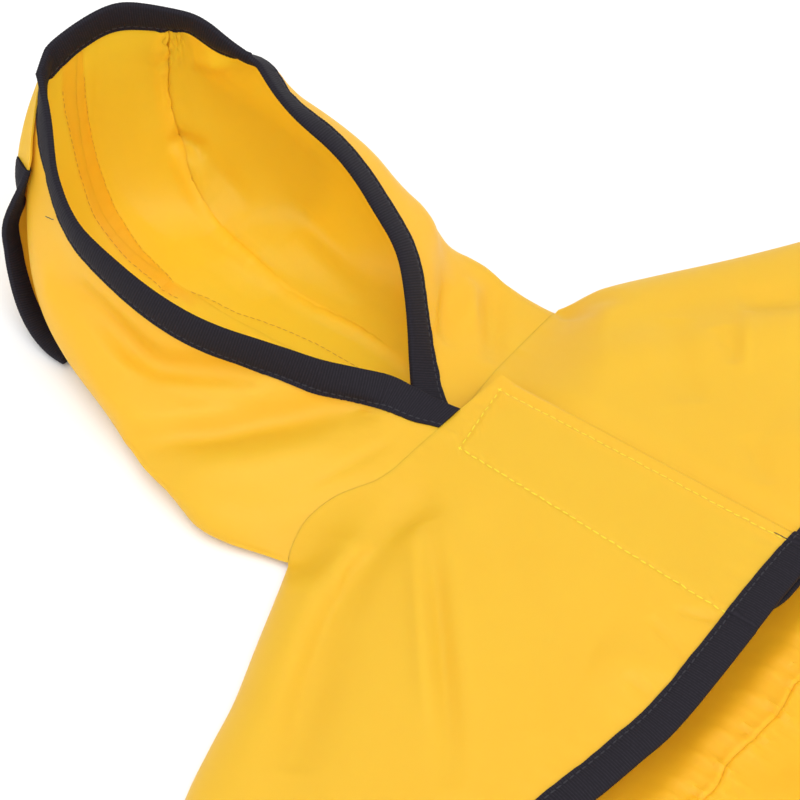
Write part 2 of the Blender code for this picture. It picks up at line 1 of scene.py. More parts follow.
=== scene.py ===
"""A dog's hooded raincoat laid chest up: cloth panels, binding tape, stitching, table and light.

Shapes are worked out in millimetres in the coat's own frame: x runs from the neck seam to the tail, y to
the dog's left and z up from the table.  They are moved to the part's frame when a mesh is made.
"""
import logging
import math
from dataclasses import dataclass, field
from enum import Enum

import bpy
import numpy as np
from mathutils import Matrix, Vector
from mathutils.bvhtree import BVHTree
from mathutils.interpolate import poly_3d_calc


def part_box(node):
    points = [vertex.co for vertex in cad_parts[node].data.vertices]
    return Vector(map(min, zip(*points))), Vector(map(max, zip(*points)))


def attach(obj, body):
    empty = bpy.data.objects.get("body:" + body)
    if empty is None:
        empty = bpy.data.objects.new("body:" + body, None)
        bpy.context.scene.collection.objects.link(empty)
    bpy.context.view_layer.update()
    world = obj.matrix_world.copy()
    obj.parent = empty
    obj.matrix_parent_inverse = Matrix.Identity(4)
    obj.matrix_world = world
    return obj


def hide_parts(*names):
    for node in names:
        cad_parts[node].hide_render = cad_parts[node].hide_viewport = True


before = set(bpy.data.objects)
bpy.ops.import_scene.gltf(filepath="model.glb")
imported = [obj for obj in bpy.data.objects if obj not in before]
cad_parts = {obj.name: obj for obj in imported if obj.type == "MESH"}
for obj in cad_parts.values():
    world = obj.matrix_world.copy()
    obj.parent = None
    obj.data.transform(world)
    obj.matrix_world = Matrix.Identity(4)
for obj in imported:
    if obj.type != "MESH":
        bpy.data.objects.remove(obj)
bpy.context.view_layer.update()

LOG = logging.getLogger("raincoat")
MM = 0.001


class Slot(Enum):
    """Material slots of the part."""

    CLOTH = "yellow_cloth"
    TAPE = "navy_tape"
    CLOSURE = "closure_tape"


class Face(Enum):
    """The two faces of a sheet that a seam can lie on."""

    OUTER = 1
    INNER = -1


# --- driving sizes ----------------------------------------------------------------------------------
SOLID_CLOTH = 1.0           # wall of the solids' cloth
SOLID_TAPE = 1.0            # wall of the solids' tape
SOLID_TAPE_GAP = 0.84       # clearance of the solids' tape
SEAM_GAP = 0.3
CLOTH_WALL = 0.9            # wall of the cloth shown
SEWN_GAP = 0.05             # clearance where two panels are sewn together
TAPE_WIDTH = 13.0
NECK_HALF = 86.0
SIDE_HALF = 215.0
HEM_X = 158.0
TAIL_X = 400.0
YOKE_X = 177.0
CHEST_RISE = 25.0
SIDE_RISE = 17.0
FOLD_RADIUS = 30.0
SIDE_INSET = 0.5
RIGHT_FLAP_EDGE = 26.0
LEFT_FLAP_EDGE = -21.0
FLAP_DROP = 5.6
FLAP_DIP = 1.8
HEM_SWEEP = 26.0
TAIL_HALF = 150.0
TAIL_CURVE_X = 300.0


@dataclass(frozen=True)
class Side:
    """Half of a hood section: widest point, edge of the opening, slope there, seam's distance from mid."""

    widest: tuple
    edge: tuple
    slope: float | None
    seam: float


@dataclass(frozen=True)
class Section:
    """One cross-section of the hood: middle of the centre panel and the two sides."""

    mid: tuple
    near: Side
    far: Side


@dataclass(frozen=True)
class Fold:
    """A soft ridge (height > 0) or trough along a path of points."""

    path: tuple
    height: float
    width: float


@dataclass(frozen=True)
class Nudge:
    """A small move of the cloth round one place, in mm."""

    place: tuple
    move: tuple
    reach: float


@dataclass(frozen=True)
class Shoulder:
    """x of the body's outline on the near and the far side, at a distance from the centre line."""

    y: float
    near_x: float
    far_x: float


HOOD_SECTIONS = (
    Section((0, 2, 0), Side((0, -86, 4), (13, 2, 27), 6, 9), Side((0, 86, 4), (13, -14, 20), 4, 17)),
    Section((-36, 6, 0), Side((-37, -101, 10), (-14, -9, 34), 22, 9),
            Side((-32, 76, 12), (-14, 3, 31), 10, 18)),
    Section((-70, 8, 0), Side((-70, -90, 11), (-46, -31, 43), 45, 9),
            Side((-50, 66, 22), (-36, 22, 55), 16, 18)),
    Section((-102, 9, 0), Side((-100, -80, 15), (-78, -48, 53), 66, 12),
            Side((-72, 62, 32), (-54, 28, 70), 20, 18)),
    Section((-130, 10, 5), Side((-127, -72, 17), (-106, -54, 63), 76, 16),
            Side((-94, 60, 42), (-72, 30, 83), 23, 20)),
    Section((-156, 10, 8), Side((-150, -63, 22), (-131, -52, 73), 80, 16),
            Side((-118, 57, 50), (-92, 29, 93), 25, 25)),
    Section((-178, 10, 22), Side((-170, -52, 32), (-152, -42, 85), 82, 13),
            Side((-142, 52, 60), (-112, 32, 101), 36, 30)),
    Section((-187, 12, 62), Side((-180, -36, 62), (-168, -29, 97), 82, 13),
            Side((-161, 44, 76), (-122, 35, 106), 60, 31)),
    Section((-173, 20, 114), Side((-182, -8, 108), (-177, -22, 104), None, 20),
            Side((-150, 33, 115), (-126, 36, 108), None, 20)),
)
HOOD_FOLDS = (
    Fold(((-20, -30, 33), (-92, -74, 40)), -3.2, 11),
    Fold(((-40, -52, 36), (-110, -86, 20)), 2.4, 10),
    Fold(((-10, -44, 26), (-52, -90, 22)), 2.2, 9),
    Fold(((-16, 26, 34), (-60, 62, 46)), 2.6, 10),
    Fold(((-26, 44, 34), (-48, 74, 28)), -2.2, 8),
    Fold(((-186, 34, 62), (-150, 40, 8)), -2.2, 9),
)
SHOULDERS = (
    Shoulder(86, 0, 0), Shoulder(105, 8, 10), Shoulder(124, 16, 22), Shoulder(145, 25, 36),
    Shoulder(164, 31, 48), Shoulder(184, 38, 60), Shoulder(200, 47, 70), Shoulder(210, 59, 81),
    Shoulder(SIDE_HALF, 80, 98),
)
CHEST_FOLDS = (
    Fold(((30, -34), (128, -150)), 3.0, 13),
    Fold(((38, -30), (145, -96)), -2.2, 12),
    Fold(((22, -52), (78, -190)), -2.6, 14),
    Fold(((18, -66), (52, -186)), 2.2, 11),
    Fold(((30, 45), (110, 150)), 2.4, 13),
    Fold(((24, 62), (82, 186)), -2.2, 14),
    Fold(((120, -60), (148, -52)), 2.0, 9),
    Fold(((110, 70), (150, 78)), 2.2, 12),
)
HEM_WAVER = ((30, -0.4), (0, 0.0), (-30, 1.2), (-66, 2.0), (-84, 0.2), (-100, -1.4), (-120, -3.4),
             (-150, -3.0), (-190, 0.0), (-215, 0.0))
HOOD_NUDGES = (
    Nudge((6, -1, 29), (0.5, -3, -2.5), 16),
    Nudge((-24, -16, 37), (0.5, -1.5, -1), 16),
    Nudge((-99, -53, 60), (0, 0.5, 0.5), 16),
    Nudge((-144, -47, 80), (-1.5, -1.5, -0.5), 16),
    Nudge((-167, -30, 96), (1, 0.5, 0), 12),
    Nudge((-171, -31, 84), (-2.5, -2, 0), 9),
    Nudge((-173, -25, 101), (-1.5, -1, 0), 14),
    Nudge((-182, -6, 109), (-1.5, 0, 0.5), 16),
    Nudge((-177, 13, 113), (-1, 0, 1), 16),
    Nudge((-160, 29, 115), (0.5, -1.5, -1), 14),
    Nudge((-141, 36, 113), (0, -0.6, -0.3), 12),
    Nudge((-124, 37, 107), (6, 0, -6), 8),
    Nudge((-113, 35, 102), (2, 2, -1.5), 9),
    Nudge((-121, 42, 93), (3, 14, 4), 10),
    Nudge((-105, 31, 98), (0, 1, 0.5), 16),
    Nudge((-62, 29, 76), (0.5, 1.5, 0.5), 16),
    Nudge((-36, 22, 55), (1.5, 2, 0.5), 16),
    Nudge((-22, 10, 38), (2, 2, 0.5), 16),
    Nudge((-44, 68, 25), (0, 3.5, 2), 16),
    Nudge((-58, 63, 36), (0, 5, 3), 16),
    Nudge((-74, 52, 60), (0.5, 5.5, 3.5), 18),
    Nudge((-98, 48, 76), (0.5, 4, 2.5), 18),
    Nudge((-117, 41, 91), (0, 3.5, 2), 14),
    Nudge((-181, -27, 84), (-3.5, -2.5, 0), 16),
    Nudge((-34, -97, 6), (0, 0.5, 0.5), 16),
    Nudge((11, -12, 25), (2.5, 0, -0.5), 9),
    Nudge((10, -26, 23), (3.5, 0, 0), 11),
    Nudge((6, -42, 19), (3, 0, 0.5), 11),
    Nudge((4, -58, 14), (-6, 0, 0.5), 9),
    Nudge((1, -70, 9), (-7, 0, 0.5), 9),
)
HOOD_CREASES = (
    Fold(((-148, -60, 38), (-130, -58, 40), (-120, -58, 38), (-111, -59, 35), (-100, -60, 31), (-89, -59, 27),
          (-74, -52, 29), (-52, -40, 33)), -8.2, 6.4),
    Fold(((-122, -64, 32), (-100, -66, 27), (-84, -62, 26), (-71, -56, 27), (-46, -42, 28)), 3.4, 3.4),
    Fold(((-84, -88, 14), (-71, -79, 16), (-57, -66, 17), (-42, -48, 18), (-27, -32, 23), (-8, -18, 27)),
         -7.4, 6.5),
    Fold(((-56, -88, 13), (-32, -64, 17), (-12, -40, 22)), 2.2, 6.0),
    Fold(((-92, -84, 15), (-66, -66, 22), (-42, -44, 27)), 1.4, 5.0),
    Fold(((-24, -25, 28), (-6, -23, 25)), -1.3, 2.4),
    Fold(((-12, -62, 16), (4, -27, 23)), -1.2, 2.2),
    Fold(((-27, 73, 11), (-9, 52, 13), (4, 32, 16)), -5.0, 4.6),
    Fold(((-30, 62, 18), (-12, 40, 19)), 3.2, 3.8),
    Fold(((-32, 48, 25), (-12, 24, 24)), -3.8, 4.0),
    Fold(((-165, 31, 43), (-161, 37, 37), (-155, 41, 31)), 6.0, 4.2),
    Fold(((-160, 39, 36), (-151, 42, 26), (-144, 42, 20), (-130, 40, 11)), 2.6, 5.5),
    Fold(((-120, 50, 21), (-111, 50, 15), (-96, 49, 10), (-80, 47, 7)), 3.4, 6.0),
    Fold(((-110, 43, 10), (-90, 41, 5), (-66, 38, 2)), -2.6, 6.0),
    Fold(((-128, 20, 8), (-113, 19, 5), (-104, 20, 4), (-78, 20, 2), (-54, 24, 1), (-34, 26, 1)), -2.0, 3.0),
    Fold(((-169, 25, 88), (-168, 27, 66), (-167, 26, 46)), 1.4, 5.0),
    Fold(((-160, 42, 78), (-142, 39, 88), (-128, 38, 94)), -2.2, 5.0),
    Fold(((-128, 46, 72), (-108, 56, 52), (-82, 60, 36)), -2.4, 7.0),
)
CHEST_CREASES = (
    Fold(((30, -36), (26, -60), (28, -82), (33, -101), (42, -120), (52, -138), (66, -160)), -6.4, 8.5),
    Fold(((20, -56), (22, -84), (28, -108), (40, -132)), 1.6, 6.0),
    Fold(((37, -51), (53, -66), (74, -88), (99, -115), (114, -133)), -4.4, 5.0),
    Fold(((32, -52), (47, -68), (68, -91), (92, -118)), 2.3, 3.6),
    Fold(((131, -27), (147, -21)), -1.4, 2.0),
    Fold(((126, -35), (147, -41)), -1.5, 2.4),
    Fold(((134, -60), (146, -62)), -1.2, 2.0),
    Fold(((48, 96), (60, 80), (80, 60)), -2.8, 7.0),
    Fold(((66, 102), (82, 90)), -2.4, 5.0),
    Fold(((68, 119), (77, 104), (87, 88)), 1.8, 3.0),
    Fold(((60, 122), (73, 133), (84, 144)), -3.2, 7.0),
    Fold(((106, 60), (126, 44)), -1.5, 4.0),
    Fold(((9, -14), (22, -12)), 1.1, 1.8),
    Fold(((9, -4), (20, -3)), -0.9, 1.6),
    Fold(((8, 6), (18, 8)), 0.9, 1.7),
    Fold(((7, 15), (16, 18)), -0.8, 1.6),
)
BACK_FOLDS = (
    Fold(((196, -40), (300, -120)), 4.5, 14),
    Fold(((188, 60), (330, 92)), 4.0, 15),
    Fold(((240, -10), (372, -30)), 3.4, 13),
    Fold(((166, -150), (166, 150)), 3.0, 8),
)


# --- curves and grids -------------------------------------------------------------------------------
def smooth(t: np.ndarray | float) -> np.ndarray:
    """Smooth step from 0 to 1."""
    t = np.clip(t, 0.0, 1.0)
    return t * t * (3 - 2 * t)


def bell(away: np.ndarray, width: float | np.ndarray) -> np.ndarray:
    """1 where a distance is zero, falling softly to nothing over a few widths."""
    return np.exp(-((away / width) ** 2))


def unit(vectors: np.ndarray) -> np.ndarray:
    """Vectors of length one."""
    return vectors / np.maximum(np.linalg.norm(vectors, axis=-1, keepdims=True), 1e-9)


def bezier(p0: np.ndarray, p1: np.ndarray, p2: np.ndarray, p3: np.ndarray, count: int) -> np.ndarray:
    """Points along a cubic curve."""
    t = np.linspace(0, 1, count)[:, None]
    return (1 - t) ** 3 * p0 + 3 * (1 - t) ** 2 * t * p1 + 3 * (1 - t) * t**2 * p2 + t**3 * p3


def distances(line: np.ndarray) -> np.ndarray:
    """Distance of each point of a polyline from its start."""
    return np.concatenate([[0], np.cumsum(np.linalg.norm(np.diff(line, axis=0), axis=1))])


def resample(line: np.ndarray, places: np.ndarray, values: np.ndarray | None = None) -> np.ndarray:
    """Points of a polyline, or values given at its points, read at distances along it.

    Args:
        line: Points of the polyline.
        places: Distances from its start.
        values: What is read, if not the points.

    Returns:
        One row for each place.
    """
    along = distances(line)
    values = line if values is None else values
    return np.stack([np.interp(places, along, column) for column in values.T], axis=1)


def spline_rows(rows: np.ndarray, per_span: int) -> np.ndarray:
    """Rows between the given ones, on a Catmull-Rom spline through them.

    Args:
        rows: The rows that the spline passes through.
        per_span: Rows made for each span.

    Returns:
        The finer rows, the given ones among them.
    """
    rows = np.array(rows, float)
    padded = np.concatenate([[2 * rows[0] - rows[1]], rows, [2 * rows[-1] - rows[-2]]])
    made = []
    for k in range(len(rows) - 1):
        a, b, c, d = padded[k : k + 4]
        for t in np.arange(per_span) / per_span:
            made.append(0.5 * (2 * b + (c - a) * t + (2 * a - 5 * b + 4 * c - d) * t**2
                               + (3 * b - a - 3 * c + d) * t**3))
    return np.array(made + [rows[-1]])


def finer(grid: np.ndarray, along: int, across: int) -> np.ndarray:
    """A grid with more rows and columns on splines through the given ones."""
    grid = spline_rows(grid, along)
    return spline_rows(grid.transpose(1, 0, 2), across).transpose(1, 0, 2)


def grid_normals(grid: np.ndarray) -> np.ndarray:
    """Unit normals of a grid of points."""
    return unit(np.cross(np.gradient(grid, axis=0), np.gradient(grid, axis=1)))


def path_distance(points: np.ndarray, path: np.ndarray) -> tuple[np.ndarray, np.ndarray]:
    """Distance from each point to a path, and the share of the path's length at the nearest place.

    Args:
        points: Places, in mm.
        path: Points of the path.

    Returns:
        The distances and the shares.
    """
    along, flat = distances(path), points[..., : path.shape[1]]
    away, share = np.full(points.shape[:-1], np.inf), np.zeros(points.shape[:-1])
    for k, run in enumerate(np.diff(path, axis=0)):
        part = np.clip(((flat - path[k]) @ run) / (run @ run), 0, 1)
        gap = np.linalg.norm(flat - path[k] - part[..., None] * run, axis=-1)
        share = np.where(gap < away, (along[k] + part * (along[k + 1] - along[k])) / along[-1], share)
        away = np.minimum(gap, away)
    return away, share


def fold_height(points: np.ndarray, folds: tuple) -> np.ndarray:
    """Height that the folds add at each point, fading out at a fold's ends.

    Args:
        points: Places, in mm.
        folds: The folds to add up.

    Returns:
        Height in mm at each point.
    """
    total = np.zeros(points.shape[:-1])
    for fold in folds:
        away, share = path_distance(points, np.array(fold.path, float))
        fade = np.maximum(np.sin(share * math.pi), 0.0) ** 0.7
        total += fold.height * bell(away, fold.width) * fade
    return total


def nudged(grid: np.ndarray, nudges: tuple) -> np.ndarray:
    """A grid moved a little round the given places, but not where it lies on the table.

    Args:
        grid: Rows and columns of points.
        nudges: The moves to make.

    Returns:
        The moved grid.
    """
    total, weights = np.zeros_like(grid), np.zeros(grid.shape[:-1])
    for nudge in nudges:
        away = np.linalg.norm(grid - nudge.place, axis=-1)
        weight = bell(away, nudge.reach)
        total += weight[..., None] * np.array(nudge.move)
        weights += weight
    share = smooth(grid[..., 2] / 6.0) * 1.25 / (weights + 0.25)
    return grid + total * share[..., None]


def uneven_wave(along: np.ndarray, length: float, seed: int) -> np.ndarray:
    """A wave from -1 to 1 with uneven crests.

    Args:
        along: Distance along the seam in millimetres.
        length: Usual distance between crests.
        seed: Number that sets the crests' places.

    Returns:
        The wave's height at each distance.
    """
    total = np.zeros_like(along)
    for k, (stretch, weight) in enumerate(((1.0, 0.45), (0.63, 0.3), (1.71, 0.35), (2.9, 0.25))):
        phase = math.sin(seed * 12.9898 + k * 78.233) * 43758.5453 % 1.0
        total += weight * np.sin(2 * math.pi * (along / (length * stretch) + phase))
    return total


def grid_lengths(grid: np.ndarray) -> tuple[np.ndarray, np.ndarray]:
    """Distance of each grid point from the first column, and from the first row.

    Args:
        grid: Rows and columns of points.

    Returns:
        Lengths across and lengths down, in mm.
    """
    across = np.linalg.norm(np.diff(grid, axis=1), axis=2).cumsum(axis=1)
    down = np.linalg.norm(np.diff(grid, axis=0), axis=2).cumsum(axis=0)
    return np.pad(across, ((0, 0), (1, 0))), np.pad(down, ((1, 0), (0, 0)))


# --- meshes -----------------------------------------------------------------------------------------
SHIFT = np.array([TAIL_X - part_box("back_lower")[1][0] / MM, 0.0, -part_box("back_upper")[0][2] / MM])


def new_object(name: str, data: bpy.types.ID) -> bpy.types.Object:
    """A new object, linked into the scene.

    Args:
        name: Name of the object.
        data: Mesh, curve, light or camera that it holds.

    Returns:
        The object.
    """
    made = bpy.data.objects.new(name, data)
    bpy.context.scene.collection.objects.link(made)
    return made


def quads(rows: int, columns: int) -> tuple[np.ndarray, tuple]:
    """Numbers of a grid's points, and of the four corners of each of its cells."""
    index = np.arange(rows * columns).reshape(rows, columns)
    return index, (index[:-1, :-1], index[1:, :-1], index[1:, 1:], index[:-1, 1:])


def add_object(name: str, points: np.ndarray, faces: list, finish: bpy.types.Material,
               uv: np.ndarray | None = None, sharp: float = 50.0) -> bpy.types.Object:
    """A shaded mesh object from points in the coat's own frame.

    Args:
        name: Name of the object.
        points: Points in millimetres.
        faces: Point numbers of each face.
        finish: Material of the object.
        uv: Place of each point on the cloth, in metres.
        sharp: Edges that turn more than this many degrees stay sharp.

    Returns:
        The new object.
    """
    mesh = bpy.data.meshes.new(name)
    mesh.from_pydata(((points - SHIFT) * MM).tolist(), [], faces)
    mesh.materials.append(finish)
    if uv is not None:
        layer = mesh.uv_layers.new(name="cloth")
        index = np.empty(len(mesh.loops), dtype=np.int32)
        mesh.loops.foreach_get("vertex_index", index)
        layer.data.foreach_set("uv", uv[index].astype(np.float32).ravel())
    made = new_object(name, mesh)
    mesh.shade_smooth()
    mesh.set_sharp_from_angle(angle=math.radians(sharp))
    face_outwards(mesh)
    return made


def face_outwards(mesh: bpy.types.Mesh) -> None:
    """Turns a closed mesh the right way out if its volume is negative.

    Args:
        mesh: The mesh to turn.
    """
    mesh.calc_loop_triangles()
    points = np.empty(len(mesh.vertices) * 3)
    mesh.vertices.foreach_get("co", points)
    points = points.reshape(-1, 3)
    triangles = np.empty(len(mesh.loop_triangles) * 3, dtype=np.int32)
    mesh.loop_triangles.foreach_get("vertices", triangles)
    a, b, c = points[triangles.reshape(-1, 3)].transpose(1, 0, 2)
    if np.einsum("ij,ij->i", a, np.cross(b, c)).sum() < 0:
        mesh.flip_normals()


@dataclass
class Sheet:
    """A panel of cloth: a grid of points on its outer face, with the way out of the coat at each."""

    name: str
    outer: np.ndarray
    out: np.ndarray
    wall: np.ndarray | float = CLOTH_WALL
    # Share of doubled cloth, which the material paints in a shade colour for the light that two layers hold
    # back.
    doubled: np.ndarray | float = 0.0
    # Share of painted light on the inner face: a lighter colour that stands in for light coming through the
    # cloth.
    painted_inner_light: float = 0.0

    @property
    def inner(self) -> np.ndarray:
        """Points of the inner face."""
        return self.outer - self.out * np.broadcast_to(self.wall, self.outer.shape[:2])[..., None]

    @property
    def middle(self) -> np.ndarray:
        """Points half way through the wall."""
        return (self.outer + self.inner) / 2

    def part(self, name: str, first: int, last: int, gap: float = SEWN_GAP) -> "Sheet":
        """The columns from first to last, drawn in from their neighbours by half a gap.

        Args:
            name: Name of what is made.
            first: First column taken.
            last: Last column taken.
            gap: Room left between two sewn panels, in mm.

        Returns:
            The narrower panel.
        """
        piece = self.outer[:, first : last + 1].copy()
        for side, step, cut in ((0, 1, first > 0), (-1, -2, last < self.outer.shape[1] - 1)):
            if cut:
                piece[:, side] += unit(piece[:, step] - piece[:, side]) * gap / 2
        wall = np.broadcast_to(self.wall, self.outer.shape[:2])[:, first : last + 1].copy()
        wall[:, 0], wall[:, -1] = wall[:, 1], wall[:, -2]
        doubled = np.broadcast_to(self.doubled, self.outer.shape[:2])[:, first : last + 1]
        return Sheet(name, piece, self.out[:, first : last + 1], wall, doubled, self.painted_inner_light)

    def build(self, finish: bpy.types.Material) -> bpy.types.Object:
        """Makes the closed shell of the panel.

        Args:
            finish: Material that it gets.

        Returns:
            The object.
        """
        rows, columns = self.outer.shape[:2]
        index, (a, b, c, d) = quads(rows, columns)
        under = index + rows * columns
        faces = [np.stack([a, b, c, d], -1).reshape(-1, 4)]
        faces.append(np.stack([a, d, c, b], -1).reshape(-1, 4) + rows * columns)
        ring = np.concatenate([index[:-1, 0], index[-1, :-1], index[:0:-1, -1], index[0, :0:-1]])
        below = np.concatenate([under[:-1, 0], under[-1, :-1], under[:0:-1, -1], under[0, :0:-1]])
        faces.append(np.stack([ring, below, np.roll(below, -1), np.roll(ring, -1)], -1))
        across, down = grid_lengths(self.outer)
        uv = np.stack([across, down], -1).reshape(-1, 2) * MM
        points = np.concatenate([self.outer.reshape(-1, 3), self.inner.reshape(-1, 3)])
        made = add_object(self.name, points, np.concatenate(faces).tolist(), finish,
                          np.concatenate([uv, uv]))
        doubled = np.broadcast_to(self.doubled, self.outer.shape[:2]).ravel()
        # Only the inner face carries the painted light.
        painted_inner_light = np.repeat([0.0, self.painted_inner_light], len(doubled))
        # The doubled share drives the strip's painted shade, at 0.35 strength on the outer face.
        for key, values in (("doubled", np.concatenate([0.35 * doubled, doubled])), ("painted_inner_light", painted_inner_light)):
            made.data.attributes.new(key, "FLOAT", "POINT").data.foreach_set("value", values)
        return made


class Skin:
    """A grid's surface that can be searched for the place and normal nearest to a point."""

    def __init__(self, grid: np.ndarray, normals: np.ndarray) -> None:
        """Takes the surface's points and their normals.

        Args:
            grid: Rows and columns of points.
            normals: Unit normal at each point.
        """
        _, (a, b, c, d) = quads(*grid.shape[:2])
        triangles = np.concatenate([np.stack([a, b, c], -1), np.stack([a, c, d], -1)]).reshape(-1, 3)
        self.triangles = triangles.tolist()
        self.points = [Vector(p) for p in grid.reshape(-1, 3)]
        self.normals = normals.reshape(-1, 3)
        self.tree = BVHTree.FromPolygons(self.points, self.triangles)

    def near(self, point: np.ndarray) -> tuple[np.ndarray, np.ndarray]:
        """Nearest place on the surface, and the smooth normal there.

        Args:
            point: The place to look from.

        Returns:
            The place and the normal.
        """
        place, _, number, _ = self.tree.find_nearest(Vector(point))
        corners = self.triangles[number]
        weights = poly_3d_calc([self.points[k] for k in corners], place)
        normal = sum(w * self.normals[k] for w, k in zip(weights, corners))
        return np.array(place), normal / np.linalg.norm(normal)


@dataclass
class Seam:
    """A line of sewing: its points and the way out of the cloth at each, in millimetres."""

    points: np.ndarray
    out: np.ndarray


def sheet_seam(sheet: Sheet, places: np.ndarray, face: Face = Face.OUTER) -> Seam:
    """A seam on a sheet.

    Args:
        sheet: The panel of cloth.
        places: Row and column of each point on the panel's grid, which may be fractions.
        face: Face of the panel that the seam lies on.

    Returns:
        The line of sewing.
    """
    surface = sheet.outer if face is Face.OUTER else sheet.inner
    rows, columns = surface.shape[:2]
    r = np.clip(places[:, 0], 0, rows - 1.001)
    c = np.clip(places[:, 1], 0, columns - 1.001)
    i, j = r.astype(int), c.astype(int)
    u, v = (r - i)[:, None], (c - j)[:, None]

    def blend(grid: np.ndarray) -> np.ndarray:
        """The grid's value at each place.

        Args:
            grid: Values at the rows and columns.

        Returns:
            The blended values.
        """
        low = grid[i, j] * (1 - v) + grid[i, j + 1] * v
        high = grid[i + 1, j] * (1 - v) + grid[i + 1, j + 1] * v
        return low * (1 - u) + high * u

    return Seam(blend(surface), unit(blend(sheet.out)) * face.value)


# --- finishes ---------------------------------------------------------------------------------------
class NodeGraph:
    """Short calls for building a material's nodes."""

    def __init__(self, name: str) -> None:
        """Makes an empty material with one Principled shader.

        Args:
            name: Name of the material.
        """
        self.material = bpy.data.materials.new(name)
        self.material.use_nodes = True
        self.tree = self.material.node_tree
        self.shader = self.tree.nodes["Principled BSDF"]

    def add(self, kind: str, **settings: object) -> bpy.types.Node:
        """Adds a node and sets its properties.

        Args:
            kind: Blender's name for the node.
            settings: Properties of the node, by name.

        Returns:
            The node.
        """
        node = self.tree.nodes.new(kind)
        for key, value in settings.items():
            setattr(node, key, value)
        return node

    def noise(self, place: bpy.types.NodeSocket, scale: float,
              detail: float = 2.0) -> bpy.types.NodeSocket:
        """Adds a noise read at a place.

        Args:
            place: Socket that gives the place.
            scale: Scale of the noise.
            detail: Finer layers of noise that are added.

        Returns:
            Socket that gives the noise.
        """
        node = self.add("ShaderNodeTexNoise")
        node.inputs["Scale"].default_value = scale
        node.inputs["Detail"].default_value = detail
        self.link(place, node.inputs["Vector"])
        return node.outputs["Fac"]

    def mix(self, share: bpy.types.NodeSocket, first: tuple | bpy.types.NodeSocket,
            second: tuple) -> bpy.types.NodeSocket:
        """Adds a mix of two colours.

        Args:
            share: Socket that gives the share of the second colour.
            first: First colour, or the socket that gives it.
            second: Second colour.

        Returns:
            Socket that gives the mixed colour.
        """
        node = self.add("ShaderNodeMix", data_type="RGBA")
        self.link(share, node.inputs["Factor"])
        if isinstance(first, tuple):
            node.inputs["A"].default_value = first
        else:
            self.link(first, node.inputs["A"])
        node.inputs["B"].default_value = second
        return node.outputs["Result"]

    def attribute(self, name: str) -> bpy.types.NodeSocket:
        """Reads a number stored at the mesh's points."""
        return self.add("ShaderNodeAttribute", attribute_name=name).outputs["Fac"]

    def finish(self, colour: bpy.types.NodeSocket, bump: bpy.types.Node,
               values: dict[str, object]) -> bpy.types.Material:
        """Joins colour and bump to the shader and sets its other inputs.

        Args:
            colour: Socket that gives the base colour.
            bump: The top bump.
            values: Values of other shader inputs, by name.

        Returns:
            The finished material.
        """
        self.link(colour, self.shader.inputs["Base Color"])
        self.link(bump.outputs["Normal"], self.shader.inputs["Normal"])
        for name, value in values.items():
            self.shader.inputs[name].default_value = value
        return self.material

    def link(self, source: bpy.types.NodeSocket, target: bpy.types.NodeSocket) -> None:
        """Joins two sockets."""
        self.tree.links.new(source, target)

    def bump(self, height: bpy.types.NodeSocket, strength: float, distance: float,
             below: bpy.types.Node | None = None) -> bpy.types.Node:
        """Adds a bump, on top of another if there is one below.

        Args:
            height: Socket that gives the height.
            strength: Strength of the bump.
            distance: Height of the bump in metres.
            below: Bump that lies under it.

        Returns:
            The bump node.
        """
        node = self.add("ShaderNodeBump")
        node.inputs["Strength"].default_value = strength
        node.inputs["Distance"].default_value = distance
        self.link(height, node.inputs["Height"])
        if below is not None:
            self.link(below.outputs["Normal"], node.inputs["Normal"])
        return node


@dataclass(frozen=True)
class CoatedCloth:
    """Golden yellow rainwear cloth, closely woven, with a thin soft coating."""

    name: str = "golden yellow coated cloth"
    colour: tuple = (0.77, 0.443, 0.0235, 1.0)
    shade: tuple = (0.755, 0.412, 0.0185, 1.0)
    # Painted shade of the doubled strip, where two layers of cloth let less light through.
    doubled_strip_shade: tuple = (0.94, 0.50, 0.022, 1.0)
    # Painted light: the lighter colour of the hood's inner face, for light that comes through the cloth.
    inside: tuple = (1.0, 0.605, 0.030, 1.0)
    roughness: float = 0.52
    thread_mm: float = 0.55
    crinkle_mm: float = 0.35
    weave_mm: float = 0.03
    mottle_scale: float = 22.0
    crinkle_scale: float = 130.0

    def build(self) -> bpy.types.Material:
        """Makes the cloth's material.

        Returns:
            The material.
        """
        graph = NodeGraph(self.name)
        place = graph.add("ShaderNodeTexCoord").outputs["Object"]
        colour = graph.mix(graph.noise(place, self.mottle_scale, 4.0), self.colour, self.shade)
        # Inner faces with painted light take the lighter colour.
        colour = graph.mix(graph.attribute("painted_inner_light"), colour, self.inside)
        # Doubled cloth is mixed towards the painted shade.
        colour = graph.mix(graph.attribute("doubled"), colour, self.doubled_strip_shade)
        threads = graph.add("ShaderNodeMapping")
        threads.inputs["Scale"].default_value = (1 / (self.thread_mm * MM),) * 3
        cloth = graph.add("ShaderNodeUVMap", uv_map="cloth")
        graph.link(cloth.outputs["UV"], threads.inputs["Vector"])
        weave = graph.add("ShaderNodeTexChecker")
        weave.inputs["Scale"].default_value = 1.0
        graph.link(threads.outputs["Vector"], weave.inputs["Vector"])
        low = graph.bump(graph.noise(place, self.crinkle_scale, 3.0), 0.35, self.crinkle_mm * MM)
        fine = graph.bump(weave.outputs["Fac"], 0.10, self.weave_mm * MM, low)
        return graph.finish(colour, fine, {
            "Roughness": self.roughness, "Specular IOR Level": 0.3, "Subsurface Weight": 0.5,
            "Subsurface Radius": (0.003, 0.0024, 0.0008), "Subsurface Scale": 1.0})


